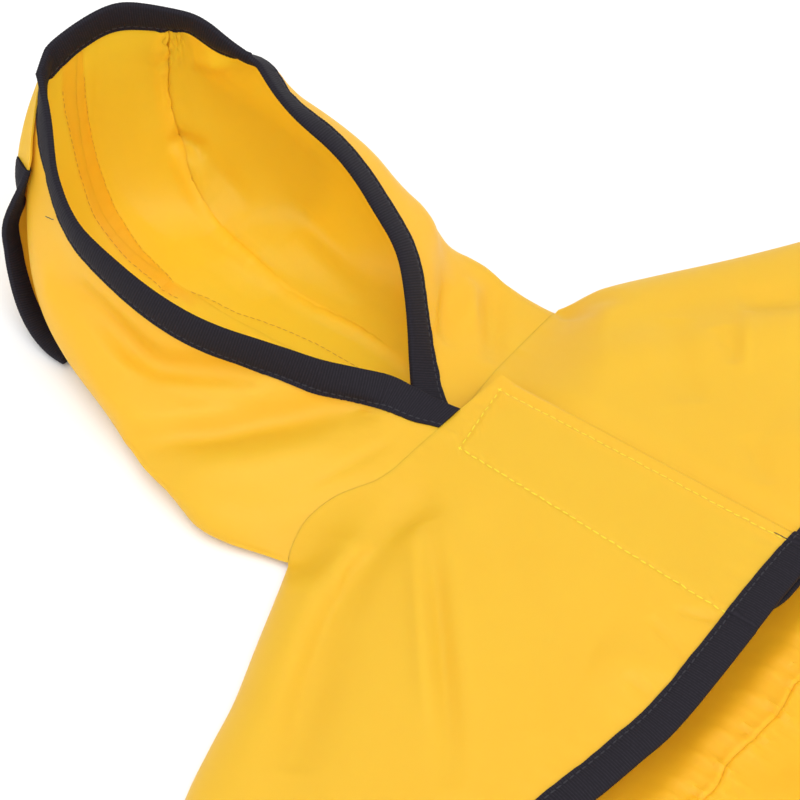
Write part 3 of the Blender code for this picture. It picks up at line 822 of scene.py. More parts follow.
@dataclass(frozen=True)
class Grosgrain:
    """Dark navy ribbed tape."""

    name: str = "navy grosgrain tape"
    colour: tuple = (0.0062, 0.0048, 0.0088, 1.0)
    # Painted highlight: a lighter navy for the rib crests, where light catches the ribs.
    crest_highlight: tuple = (0.023, 0.0188, 0.0275, 1.0)
    rib_mm: float = 1.05
    fuzz_scale: float = 900.0

    def build(self) -> bpy.types.Material:
        """Makes the tape's material.

        Returns:
            The material.
        """
        graph = NodeGraph(self.name)
        cloth = graph.add("ShaderNodeUVMap", uv_map="cloth").outputs["UV"]
        ribs = graph.add("ShaderNodeTexWave", wave_type="BANDS", bands_direction="X")
        ribs.inputs["Scale"].default_value = 1 / (self.rib_mm * MM) / (20 / (2 * math.pi))
        ribs.inputs["Distortion"].default_value = 0.35
        ribs.inputs["Detail"].default_value = 1.0
        graph.link(cloth, ribs.inputs["Vector"])
        fuzz = graph.noise(cloth, self.fuzz_scale)
        share = graph.add("ShaderNodeMath", operation="MULTIPLY")
        graph.link(ribs.outputs["Fac"], share.inputs[0])
        graph.link(fuzz, share.inputs[1])
        # The rib crests, broken up by fuzz, take the painted highlight colour.
        colour = graph.mix(share.outputs["Value"], self.colour, self.crest_highlight)
        low = graph.bump(ribs.outputs["Fac"], 0.6, 0.15 * MM)
        fine = graph.bump(fuzz, 0.3, 0.08 * MM, low)
        return graph.finish(colour, fine, {"Roughness": 0.8, "Specular IOR Level": 0.25})


@dataclass(frozen=True)
class Thread:
    """Sewing thread."""

    name: str
    colour: tuple
    twist_scale: float = 1500.0

    def build(self) -> bpy.types.Material:
        """Makes the thread's material.

        Returns:
            The material.
        """
        graph = NodeGraph(self.name)
        place = graph.add("ShaderNodeTexCoord").outputs["Object"]
        twist = graph.noise(place, self.twist_scale)
        dark = tuple(0.8 * c for c in self.colour[:3]) + (1.0,)
        fine = graph.bump(twist, 0.3, 0.05 * MM)
        return graph.finish(graph.mix(twist, self.colour, dark), fine, {
            "Roughness": 0.6, "Sheen Weight": 0.1})


@dataclass(frozen=True)
class Tabletop:
    """Plain pale table."""

    name: str = "pale table"
    colour: tuple = (0.93, 0.93, 0.93, 1.0)

    def build(self) -> bpy.types.Material:
        """Makes the table's material.

        Returns:
            The material.
        """
        graph = NodeGraph(self.name)
        graph.shader.inputs["Base Color"].default_value = self.colour
        graph.shader.inputs["Roughness"].default_value = 0.9
        graph.shader.inputs["Specular IOR Level"].default_value = 0.1
        return graph.material


@dataclass
class Wardrobe:
    """The finishes, each made once."""

    cloth: bpy.types.Material = field(default_factory=lambda: CoatedCloth().build())
    # A darker, more orange copy of the cloth: painted shade for the back lying in shadow under the chest hem.
    back_painted_shade_cloth: bpy.types.Material = field(default_factory=lambda: CoatedCloth(
        "golden yellow cloth, painted shade", (0.97, 0.44, 0.0125, 1.0), (0.96, 0.41, 0.010, 1.0)).build())
    closure: bpy.types.Material = field(default_factory=lambda: CoatedCloth(
        "yellow hook-and-loop tape", (0.9, 0.5, 0.05, 1.0), (0.84, 0.45, 0.04, 1.0), roughness=0.9,
        thread_mm=1.6, crinkle_mm=0.8).build())
    tape: bpy.types.Material = field(default_factory=lambda: Grosgrain().build())
    yellow_thread: bpy.types.Material = field(
        default_factory=lambda: Thread("lemon thread", (0.95, 0.72, 0.02, 1.0)).build())
    amber_thread: bpy.types.Material = field(
        default_factory=lambda: Thread("amber thread", (0.75, 0.36, 0.015, 1.0)).build())
    navy_thread: bpy.types.Material = field(
        default_factory=lambda: Thread("navy thread", (0.011, 0.009, 0.016, 1.0)).build())


def place_piece(piece: bpy.types.Object, slot: Slot, *nodes: str) -> bpy.types.Object:
    """Fixes a piece to the coat, in place of the named solids.

    Args:
        piece: The piece to fix.
        slot: The piece's material slot; not used.
        nodes: Solids that it replaces.

    Returns:
        The same piece.
    """
    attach(piece, "root")
    if nodes:
        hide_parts(*nodes)
    LOG.info("%s: %d faces", piece.name, len(piece.data.polygons))
    return piece


# --- stitches ---------------------------------------------------------------------------------------
@dataclass
class Stitching:
    """Rows of thread stitches along seams, set out by a node tree."""

    length: float = 2.3
    gap: float = 0.6
    width: float = 0.7
    height: float = 0.5
    seed: int = 7
    wander: tuple = (0.05, 0.05, 0.13)

    def tree(self) -> bpy.types.NodeTree:
        """Builds the tree that turns lines into stitches.

        Returns:
            The node tree, with its sizes as named inputs.
        """
        tree = bpy.data.node_groups.new("Stitch rows", "GeometryNodeTree")
        tree.is_modifier = True
        face = tree.interface
        face.new_socket("Geometry", in_out="INPUT", socket_type="NodeSocketGeometry")
        for name in ("Stitch Length", "Stitch Gap", "Thread Width", "Thread Height"):
            face.new_socket(name, in_out="INPUT", socket_type="NodeSocketFloat")
        face.new_socket("Seed", in_out="INPUT", socket_type="NodeSocketInt")
        face.new_socket("Thread", in_out="INPUT", socket_type="NodeSocketMaterial")
        face.new_socket("Geometry", in_out="OUTPUT", socket_type="NodeSocketGeometry")
        nodes = tree.nodes
        given, result = nodes.new("NodeGroupInput"), nodes.new("NodeGroupOutput")
        line = nodes.new("GeometryNodeMeshToCurve")
        pitch = nodes.new("ShaderNodeMath")
        spaced = nodes.new("GeometryNodeResampleCurve")
        spaced.mode = "LENGTH"
        out = nodes.new("GeometryNodeInputNamedAttribute")
        out.data_type = "FLOAT_VECTOR"
        out.inputs["Name"].default_value = "out"
        tangent = nodes.new("GeometryNodeInputTangent")
        turn = nodes.new("FunctionNodeAxesToRotation")
        turn.primary_axis, turn.secondary_axis = "Z", "X"
        wander = nodes.new("FunctionNodeRandomValue")
        wander.data_type = "FLOAT_VECTOR"
        wander.inputs["Min"].default_value = tuple(-angle for angle in self.wander)
        wander.inputs["Max"].default_value = self.wander
        askew = nodes.new("FunctionNodeRotateRotation")
        askew.rotation_space = "LOCAL"
        size = nodes.new("ShaderNodeCombineXYZ")
        bead = nodes.new("GeometryNodeMeshUVSphere")
        for name, value in (("Segments", 8), ("Rings", 5), ("Radius", 0.5)):
            bead.inputs[name].default_value = value
        upright = nodes.new("GeometryNodeTransform")
        upright.inputs["Rotation"].default_value = (0.0, math.pi / 2, 0.0)
        laid = nodes.new("GeometryNodeInstanceOnPoints")
        real = nodes.new("GeometryNodeRealizeInstances")
        dressed = nodes.new("GeometryNodeSetMaterial")
        for start, leaves, end, enters in (
                (given, "Geometry", line, "Mesh"),
                (given, "Stitch Length", pitch, 0),
                (given, "Stitch Gap", pitch, 1),
                (line, "Curve", spaced, "Curve"),
                (pitch, 0, spaced, "Length"),
                (out, "Attribute", turn, "Primary Axis"),
                (tangent, "Tangent", turn, "Secondary Axis"),
                (given, "Seed", wander, "Seed"),
                (turn, "Rotation", askew, "Rotation"),
                (wander, 0, askew, "Rotate By"),
                (given, "Stitch Length", size, "X"),
                (given, "Thread Width", size, "Y"),
                (given, "Thread Height", size, "Z"),
                (bead, "Mesh", upright, "Geometry"),
                (spaced, "Curve", laid, "Points"),
                (upright, "Geometry", laid, "Instance"),
                (askew, "Rotation", laid, "Rotation"),
                (size, "Vector", laid, "Scale"),
                (laid, "Instances", real, "Geometry"),
                (real, "Geometry", dressed, "Geometry"),
                (given, "Thread", dressed, "Material"),
                (dressed, "Geometry", result, "Geometry")):
            tree.links.new(start.outputs[leaves], end.inputs[enters])
        return tree

    def sew(self, name: str, seams: list[Seam], thread: bpy.types.Material) -> bpy.types.Object:
        """Makes one mesh of all the stitches along the seams.

        Args:
            name: Name of the object.
            seams: The lines of sewing.
            thread: Material of the thread.

        Returns:
            The object with the stitches.
        """
        points = np.concatenate([seam.points for seam in seams])
        edges, start = [], 0
        for seam in seams:
            edges += [(start + k, start + k + 1) for k in range(len(seam.points) - 1)]
            start += len(seam.points)
        lines = bpy.data.meshes.new(f"{name} lines")
        lines.from_pydata(((points - SHIFT) * MM).tolist(), edges, [])
        out = lines.attributes.new("out", "FLOAT_VECTOR", "POINT")
        out.data.foreach_set("vector", np.concatenate([seam.out for seam in seams]).ravel())
        guide = new_object(f"{name} lines", lines)
        modifier = guide.modifiers.new("Stitches", "NODES")
        modifier.node_group = bpy.data.node_groups.get("Stitch rows") or self.tree()
        values = {
            "Stitch Length": self.length * MM, "Stitch Gap": self.gap * MM, "Seed": self.seed,
            "Thread Width": self.width * MM, "Thread Height": self.height * MM, "Thread": thread,
        }
        for item in modifier.node_group.interface.items_tree:
            if item.name in values:
                modifier[item.identifier] = values[item.name]
        reader = bpy.context.evaluated_depsgraph_get()
        mesh = bpy.data.meshes.new_from_object(guide.evaluated_get(reader))
        bpy.data.objects.remove(guide)
        mesh.name = name
        mesh.shade_smooth()
        return new_object(name, mesh)


@dataclass(frozen=True)
class Pucker:
    """Small ripples of the cloth beside a line of sewing: sizes in mm, and the seed of their spacing."""

    height: float
    reach: float
    pitch: float
    seed: int

    def lift(self, away: np.ndarray, along: np.ndarray, other: int = 0) -> np.ndarray:
        """Works out the ripples' height.

        Args:
            away: Distance of each point from the sewing.
            along: Its place along the sewing.
            other: Added to the seed, for another piece's ripples.

        Returns:
            The height at each point.
        """
        return self.height * bell(away, self.reach) * uneven_wave(along, self.pitch, self.seed + other)


NECK_PUCKER = Pucker(height=0.3, reach=7.0, pitch=9.0, seed=11)
RIM_PUCKER = Pucker(height=0.25, reach=6.0, pitch=8.0, seed=17)
HEM_PUCKER = Pucker(height=0.35, reach=7.0, pitch=11.0, seed=31)
BOX_PUCKER = Pucker(height=0.22, reach=4.0, pitch=6.0, seed=41)


# --- tape -------------------------------------------------------------------------------------------
@dataclass
class Tape:
    """Ribbed tape folded over an edge of a sheet and sewn through."""

    width: float = TAPE_WIDTH
    wall: float = 0.55
    clearance: float = 0.15
    half_cloth: float = CLOTH_WALL / 2
    rib: float = 1.35
    rib_height: float = 0.11
    stitch_inset: float = 1.9
    pillow: float = 0.55

    def profile(self) -> list[tuple[float, float, float]]:
        """Cross-section: reach in from the cloth's edge, height over its middle, and share of ribbing.

        Returns:
            The points of the cross-section.
        """
        slot = self.half_cloth + self.clearance
        skin = slot + self.wall
        stitch = self.width - self.stitch_inset
        reaches = [0.0, 1.6, 3.8, 6.2, 8.6, stitch - 0.8, stitch, stitch + 0.8, self.width - 0.1, self.width]
        top = []
        for reach in reaches:
            height = skin + self.pillow * math.sin(math.pi * min(reach / stitch, 1.0)) ** 0.8
            height -= 0.3 * math.exp(-(((reach - stitch) / 0.55) ** 2))
            height -= 0.35 * (reach == self.width)
            top.append((reach, height, 1.0 if reach < self.width else 0.0))
        fold = [(-(self.clearance + self.wall) * math.cos(a), skin * math.sin(a), 1.0)
                for a in np.radians((-55, -20, 20, 55))]
        outside = [(r, -h, s) for r, h, s in top[::-1]] + fold + top
        half = self.width / 2
        inside = [(self.width, slot, 0), (half, slot, 0), (0.0, slot, 0), (-self.clearance, 0.0, 0)]
        inside += [(0.0, -slot, 0), (half, -slot, 0), (self.width, -slot, 0)]
        return outside + inside

    def wrap(self, name: str, skin: Skin, edge: np.ndarray, hints: np.ndarray, cuts: tuple,
             finish: bpy.types.Material) -> tuple[bpy.types.Object, list[Seam]]:
        """Folds the tape over an edge.

        Args:
            name: Name of the object.
            skin: Middle surface of the sheet.
            edge: Points of the free edge.
            hints: Way into the sheet at each of them.
            cuts: Way of the cut at the tape's two ends, or None for square ends.
            finish: Material of the tape.

        Returns:
            The tape, and the lines of sewing on its outer and inner faces.
        """
        count = int(distances(edge)[-1] / self.rib) * 3
        places = np.linspace(0, distances(edge)[-1], count + 1)
        edge, hints = resample(edge, places), unit(resample(edge, places, hints))
        tangent = unit(np.gradient(edge, axis=0))
        normals = np.array([skin.near(at + way * 2.0)[1] for at, way in zip(edge, hints)])
        for _ in range(6):
            normals[1:-1] = normals[:-2] + 2 * normals[1:-1] + normals[2:]
            normals = unit(normals)
        ways = np.cross(tangent, normals)
        ways *= np.sign(np.einsum("ij,ij->i", ways, hints).sum())
        for _ in range(40):
            ways[1:-1] = ways[:-2] + 2 * ways[1:-1] + ways[2:]
            ways -= tangent * np.einsum("ij,ij->i", ways, tangent)[:, None]
            ways = unit(ways)
        shape = self.profile()
        ribs = np.cos(2 * math.pi * places / self.rib) * self.rib_height
        rings = np.empty((len(edge), len(shape), 3))
        fold_out = np.empty_like(rings)
        for k, at in enumerate(edge):
            inward = ways[k]
            for cut, distance in zip(cuts, (places[k], places[-1] - places[k])):
                if cut is not None:
                    mixed = inward + (cut - inward) * (1 - smooth(distance / (2 * self.width)))
                    inward = mixed / max(mixed @ inward, 0.35)
            found: dict = {}
            for j, (reach, height, ribbed) in enumerate(shape):
                if reach > 0:
                    if reach not in found:
                        found[reach] = skin.near(at + inward * reach)
                    place, normal = found[reach]
                else:
                    place, normal = at + inward * reach, normals[k]
                lifted = height + math.copysign(ribs[k] * ribbed, height)
                rings[k, j] = place + normal * lifted
                fold_out[k, j] = normal
        made = self.mesh(name, rings, places, finish)
        seams = []
        stitch = self.width - self.stitch_inset
        for face in Face:
            j = next(n for n, (reach, height, _) in enumerate(shape)
                     if reach == stitch and height * face.value > 0)
            seams.append(Seam(rings[2:-2, j], fold_out[2:-2, j] * face.value))
        return made, seams

    def mesh(self, name: str, rings: np.ndarray, places: np.ndarray,
             finish: bpy.types.Material) -> bpy.types.Object:
        """Joins the rings into a closed mesh with caps.

        Args:
            name: Name of what is made.
            rings: Cross-sections along the tape.
            places: Distance of each ring along the tape.
            finish: Material that it gets.

        Returns:
            The object.
        """
        size, count = rings.shape[:2]
        k, j = np.meshgrid(np.arange(size - 1), np.arange(count), indexing="ij")
        a, b = k * count + j, k * count + (j + 1) % count
        faces = np.stack([a, b, b + count, a + count], -1).reshape(-1, 4).tolist()
        faces.append(list(range(count))[::-1])
        faces.append(list(range((size - 1) * count, size * count)))
        around = np.pad(np.linalg.norm(np.diff(rings[0], axis=0), axis=1).cumsum(), (1, 0))
        uv = np.stack(np.broadcast_arrays(places[:, None], around[None]), -1).reshape(-1, 2) * MM
        return add_object(name, rings.reshape(-1, 3), faces, finish, uv, sharp=60.0)


def rim(grid: np.ndarray, sides: tuple, reach: int = 5) -> tuple[np.ndarray, np.ndarray]:
    """Points along chosen sides of a grid, and at each the way into the sheet.

    Args:
        grid: Points of the sheet.
        sides: Names of the sides, in the order in which they follow each other.
        reach: Rows and columns in, to the points that the ways are read from.

    Returns:
        The points, and the ways in.
    """
    inside = grid[reach:-reach, reach:-reach]
    inside = np.pad(inside, ((reach, reach), (reach, reach), (0, 0)), mode="edge")
    edges = {
        "first column": (grid[:, 0], inside[:, 0]),
        "last column": (grid[::-1, -1], inside[::-1, -1]),
        "last row": (grid[-1], inside[-1]),
        "first row": (grid[0], inside[0]),
    }
    outer = np.concatenate([edges[side][0][1 if k else 0 :] for k, side in enumerate(sides)])
    inner = np.concatenate([edges[side][1][1 if k else 0 :] for k, side in enumerate(sides)])
    return outer, unit(inner - outer)


FREE_SIDES = ("first column", "last row", "last column")


def bind(name: str, solid: str, tape: Tape, skin: Skin, line: tuple[np.ndarray, np.ndarray],
         finishes: Wardrobe, stitches: Stitching, cuts: tuple = (None, None)) -> None:
    """Folds a tape over an edge, sews it through and fixes both to the coat.

    Args:
        name: Name of the tape.
        solid: The solid that it replaces.
        tape: The tape to fold.
        skin: Surface that the tape lies on.
        line: The edge's points, and hints of its outer side.
        finishes: The materials.
        stitches: How the tape is sewn.
        cuts: Direction of the cut at each end of the tape.
    """
    made, seams = tape.wrap(name, skin, *line, cuts, finishes.tape)
    place_piece(made, Slot.TAPE, solid)
    sewn = stitches.sew(name.replace("tape", "tape_stitches"), seams, finishes.navy_thread)
    place_piece(sewn, Slot.TAPE)


# --- hood -------------------------------------------------------------------------------------------
@dataclass
class Hood:
    """Three-panel hood, its bound face opening and the seams between the panels."""

    rows_per_section: int = 3
    side_columns: int = 12
    centre_columns: int = 4
    crown_softening: float = 0.6
    refine: int = 5
    felled_rise: float = 0.45
    felled_column: tuple = ((0, 86), (28, 80), (45, 66), (57, 60), (61, 59.5), (70, 63), (82, 67), (94, 69),
                            (102, 68), (112, 65), (120, 62))
    felled_width: tuple = ((0, 5), (60, 6), (72, 8), (90, 12), (120, 11))
    strip_from_row: float = 46.0
    strip_fade_rows: float = 16.0
    seam_first_rows: tuple = (2, 58)
    seam_end_rows: int = 9
    seam_stitch: Stitching = field(default_factory=lambda: Stitching(
        length=2.7, gap=0.35, width=0.42, height=0.3, seed=9))
    coarse: np.ndarray = field(init=False)
    sheet: Sheet = field(init=False)

    def __post_init__(self) -> None:
        """Works out the hood's surface."""
        self.coarse = self.coarse_surface()
        grid = finer(self.coarse, self.refine, self.refine)
        grid, wall = self.relief(grid, grid_normals(grid))
        self.sheet = Sheet("hood", grid, grid_normals(grid), wall)
        # The doubled strip's share also drives a painted shade colour.
        self.sheet.doubled = self.doubled(*self.felled_strip(grid_lengths(grid)[0]))
        # The hood's inner face is painted lighter, as if lit through the cloth.
        self.sheet.painted_inner_light = 1.0

    @staticmethod
    def half_section(mid: tuple, side: Side) -> np.ndarray:
        """Outer curve of half a section, from the middle of the floor round the side to the edge.

        Args:
            mid: Middle of the section.
            side: Side that is meant.

        Returns:
            Points of the curve.
        """
        mid, widest, edge = (np.array(p, float) for p in (mid, side.widest, side.edge))
        floor_handle = mid + (widest - mid) * (0.8, 0.85, 0.0)
        low_handle = widest + (mid - widest) * (0.0, 0.0, 0.9)
        lower = bezier(mid, floor_handle, low_handle, widest, 40)
        outward = (widest - edge) * (1, 1, 0)
        outward /= max(np.linalg.norm(outward), 1e-6)
        slope = math.radians(side.slope)
        down = outward * math.cos(slope) - np.array([0, 0, math.sin(slope)])
        straight = min(TAPE_WIDTH + 2, 0.55 * np.linalg.norm(widest - edge))
        shoulder = edge + down * straight
        rest = np.linalg.norm(widest - shoulder)
        lean = 0.45 * math.cos(slope) ** 6
        high_handle = widest + (shoulder - widest) * (lean, lean, 0.5)
        upper = bezier(widest, high_handle, shoulder + down * rest * 0.4, shoulder, 40)
        return np.concatenate([lower, upper[1:], edge[None]])

    @staticmethod
    def rim_half(section: Section, side: Side) -> np.ndarray:
        """Half of the forehead edge, from the middle of the centre panel to its end.

        Args:
            section: The section.
            side: Side that is meant.

        Returns:
            Points of the edge.
        """
        near, far = section.near, section.far
        whole = spline_rows([near.edge, near.widest, section.mid, far.widest, far.edge], 20)
        return whole[40::-1] if side is near else whole[40:]

    def row(self, section: Section) -> np.ndarray:
        """Points of one section from the near edge to the far one, with the seams at fixed columns.

        Args:
            section: The section to draw.

        Returns:
            Points of the row.
        """
        halves = []
        for side in (section.near, section.far):
            if side.slope is None:
                line = self.rim_half(section, side)
            else:
                line = self.half_section(section.mid, side)
            end = float(distances(line)[-1])
            band = min(TAPE_WIDTH + 1, 0.4 * (end - side.seam))
            panel = resample(line, np.linspace(side.seam, end - band, self.side_columns - 1))
            bound = resample(line, np.array([end - band / 2, end]))
            centre = resample(line, np.linspace(0, side.seam, self.centre_columns + 1))
            halves.append(np.concatenate([centre[:-1], panel, bound]))
        return np.concatenate([halves[0][::-1], halves[1][1:]])

    def coarse_surface(self) -> np.ndarray:
        """Outer surface: rows from the neck to the forehead, columns from near to far.

        Returns:
            The grid of points.
        """
        grid = spline_rows([self.row(section) for section in HOOD_SECTIONS], self.rows_per_section)
        share = np.linspace(0, 1, len(grid))[1:-1, None, None]
        softening = self.crown_softening * smooth((share - 0.6) / 0.2)
        for _ in range(4):
            around = grid[:-2, 1:-1] + grid[2:, 1:-1] + grid[1:-1, :-2] + grid[1:-1, 2:]
            grid[1:-1, 1:-1] += softening * (around / 4 - grid[1:-1, 1:-1])
        grid = grid + grid_normals(grid) * fold_height(grid, HOOD_FOLDS)[..., None]
        grid = nudged(grid, HOOD_NUDGES)
        grid[..., 2] = np.maximum(grid[..., 2], 0.0)
        return grid

    @property
    def seam_columns(self) -> tuple[int, int]:
        """Columns of the near and the far panel seam."""
        first = self.side_columns * self.refine
        return first, first + 2 * self.centre_columns * self.refine

    def felled_strip(self, across: np.ndarray) -> tuple[np.ndarray, np.ndarray]:
        """Distance of each point into the near seam's felled strip, and the strip's width there.

        Args:
            across: Distance of each point from the near edge.

        Returns:
            The distances and the widths.
        """
        rows = np.arange(len(across))
        column = np.interp(rows, *np.array(self.felled_column).T)
        width = np.interp(rows, *np.array(self.felled_width).T)[:, None]
        line = np.array([np.interp(column[r], np.arange(across.shape[1]), across[r]) for r in rows])
        return line[:, None] - across, width

    def relief(self, grid: np.ndarray, out: np.ndarray) -> tuple[np.ndarray, np.ndarray]:
        """Adds the creases, the felled seams and the small puckers beside the sewing.

        Args:
            grid: Outer surface.
            out: Ways out of the hood.

        Returns:
            The surface with its relief, and the wall at each point.
        """
        across, down = grid_lengths(grid)
        far = self.seam_columns[1]
        wall = np.full(grid.shape[:2], CLOTH_WALL)
        lift = fold_height(grid, HOOD_CREASES)
        away, width = self.felled_strip(across)
        wall += self.felled_rise * self.doubled(away, width)
        for line, share in ((0.0, 1.0), (width, self.strip_seen())):
            lift += 0.25 * share * bell(away - line, 0.9)
        lift += 0.3 * bell(away - width / 2, width) * uneven_wave(down, 6.5, 3)
        away = across - across[:, far : far + 1]
        wall += 1.5 * (away < 0) * smooth(1 + away / 8.0)
        lower = smooth((95 - np.arange(len(down))) / 30.0)[:, None]
        lift += 1.6 * lower * bell(away - 3.5, 3.2)
        top = smooth((down - 0.72 * down.max()) / 24.0)
        reach = np.where(away > 0, 7.0, 6.0)
        lift += (0.35 + 0.9 * top) * bell(away, reach) * uneven_wave(down, 5.0, 4)
        lift += (0.7 + 0.9 * top) * bell(away, 1.8)
        lift += NECK_PUCKER.lift(down, grid[..., 1])
        lift -= 0.05 * bell(down, 1.3) + 0.14 * bell(down - 3.4, 0.9)
        for edge in (across, across[:, -1:] - across):
            lift += RIM_PUCKER.lift(edge - TAPE_WIDTH - 2, down)
        lift *= smooth(grid[..., 2] / 4.0) * (lift > 0) + (lift < 0)
        to_edge = np.minimum(np.minimum(across, across[:, -1:] - across), down[-1] - down)
        lift *= smooth((to_edge - TAPE_WIDTH + 3) / 7.0)
        wall = CLOTH_WALL + (wall - CLOTH_WALL) * smooth((to_edge - TAPE_WIDTH + 1) / 5.0)
        grid = grid + out * lift[..., None]
        grid[..., 2] = np.maximum(grid[..., 2], 0.0)
        return grid, wall

    def build(self, finishes: Wardrobe, stitches: Stitching) -> None:
        """Makes the hood's panels, its tape and its stitches.

        Args:
            finishes: The materials.
            stitches: How the tape is sewn.
        """
        first, last = self.seam_columns
        end = self.sheet.outer.shape[1] - 1
        for name, a, b in (("hood_side_right", 0, first), ("hood_centre", first, last),
                           ("hood_side_left", last, end)):
            panel = self.sheet.part(f"{name}_panel", a, b)
            declare(place_piece(panel.build(finishes.cloth), Slot.CLOTH, name), panel)
        middle = self.sheet.middle
        cuts = tuple(unit(middle[0, a] - middle[0, b]) for a, b in ((10, 0), (-11, -1)))
        bind("hood_tape", "hood_binding", Tape(), Skin(middle, self.sheet.out), rim(middle, FREE_SIDES),
             finishes, stitches, cuts)
        sewn = self.seam_stitch.sew("hood_seam_stitches", self.panel_seams(), finishes.amber_thread)
        place_piece(sewn, Slot.CLOTH)

    def panel_seams(self) -> list[Seam]:
        """Two lines of sewing along the felled strip, on both faces of the hood.

        Returns:
            The two lines on each face.
        """
        across, _ = grid_lengths(self.sheet.outer)
        away, width = self.felled_strip(across)
        seams = []
        for line, first in zip((0.0 * width, width), self.seam_first_rows):
            rows = np.arange(first, len(across) - self.seam_end_rows)
            places = [np.interp(-line[r, 0], -away[r], np.arange(away.shape[1])) for r in rows]
            for face in Face:
                seams.append(sheet_seam(self.sheet, np.stack([rows, places], -1), face))
        return seams

    def strip_seen(self) -> np.ndarray:
        """1 on the rows where the near seam's strip shows, 0 towards the neck."""
        rows = self.coarse.shape[0] * self.refine - self.refine + 1
        return smooth((np.arange(rows) - self.strip_from_row) / self.strip_fade_rows)[:, None]

    def doubled(self, away: np.ndarray, width: np.ndarray) -> np.ndarray:
        """1 where the hood's cloth is doubled by a seam's strip, 0 elsewhere."""
        return smooth(away / 0.9 + 0.5) * smooth((width - away) / 0.9 + 0.5) * self.strip_seen()


def declare(piece: bpy.types.Object, sheet: Sheet) -> None:
    """Works out the flat size that a panel was cut to; nothing is stated or kept.

    Args:
        piece: The piece on the coat; not used.
        sheet: The panel that it was built from.
    """
    across, down = grid_lengths(sheet.outer)


# --- body -------------------------------------------------------------------------------------------
class Shore(Enum):
    """The dog's right side lies near the camera, its left side away from it."""

    NEAR = -1
    FAR = 1


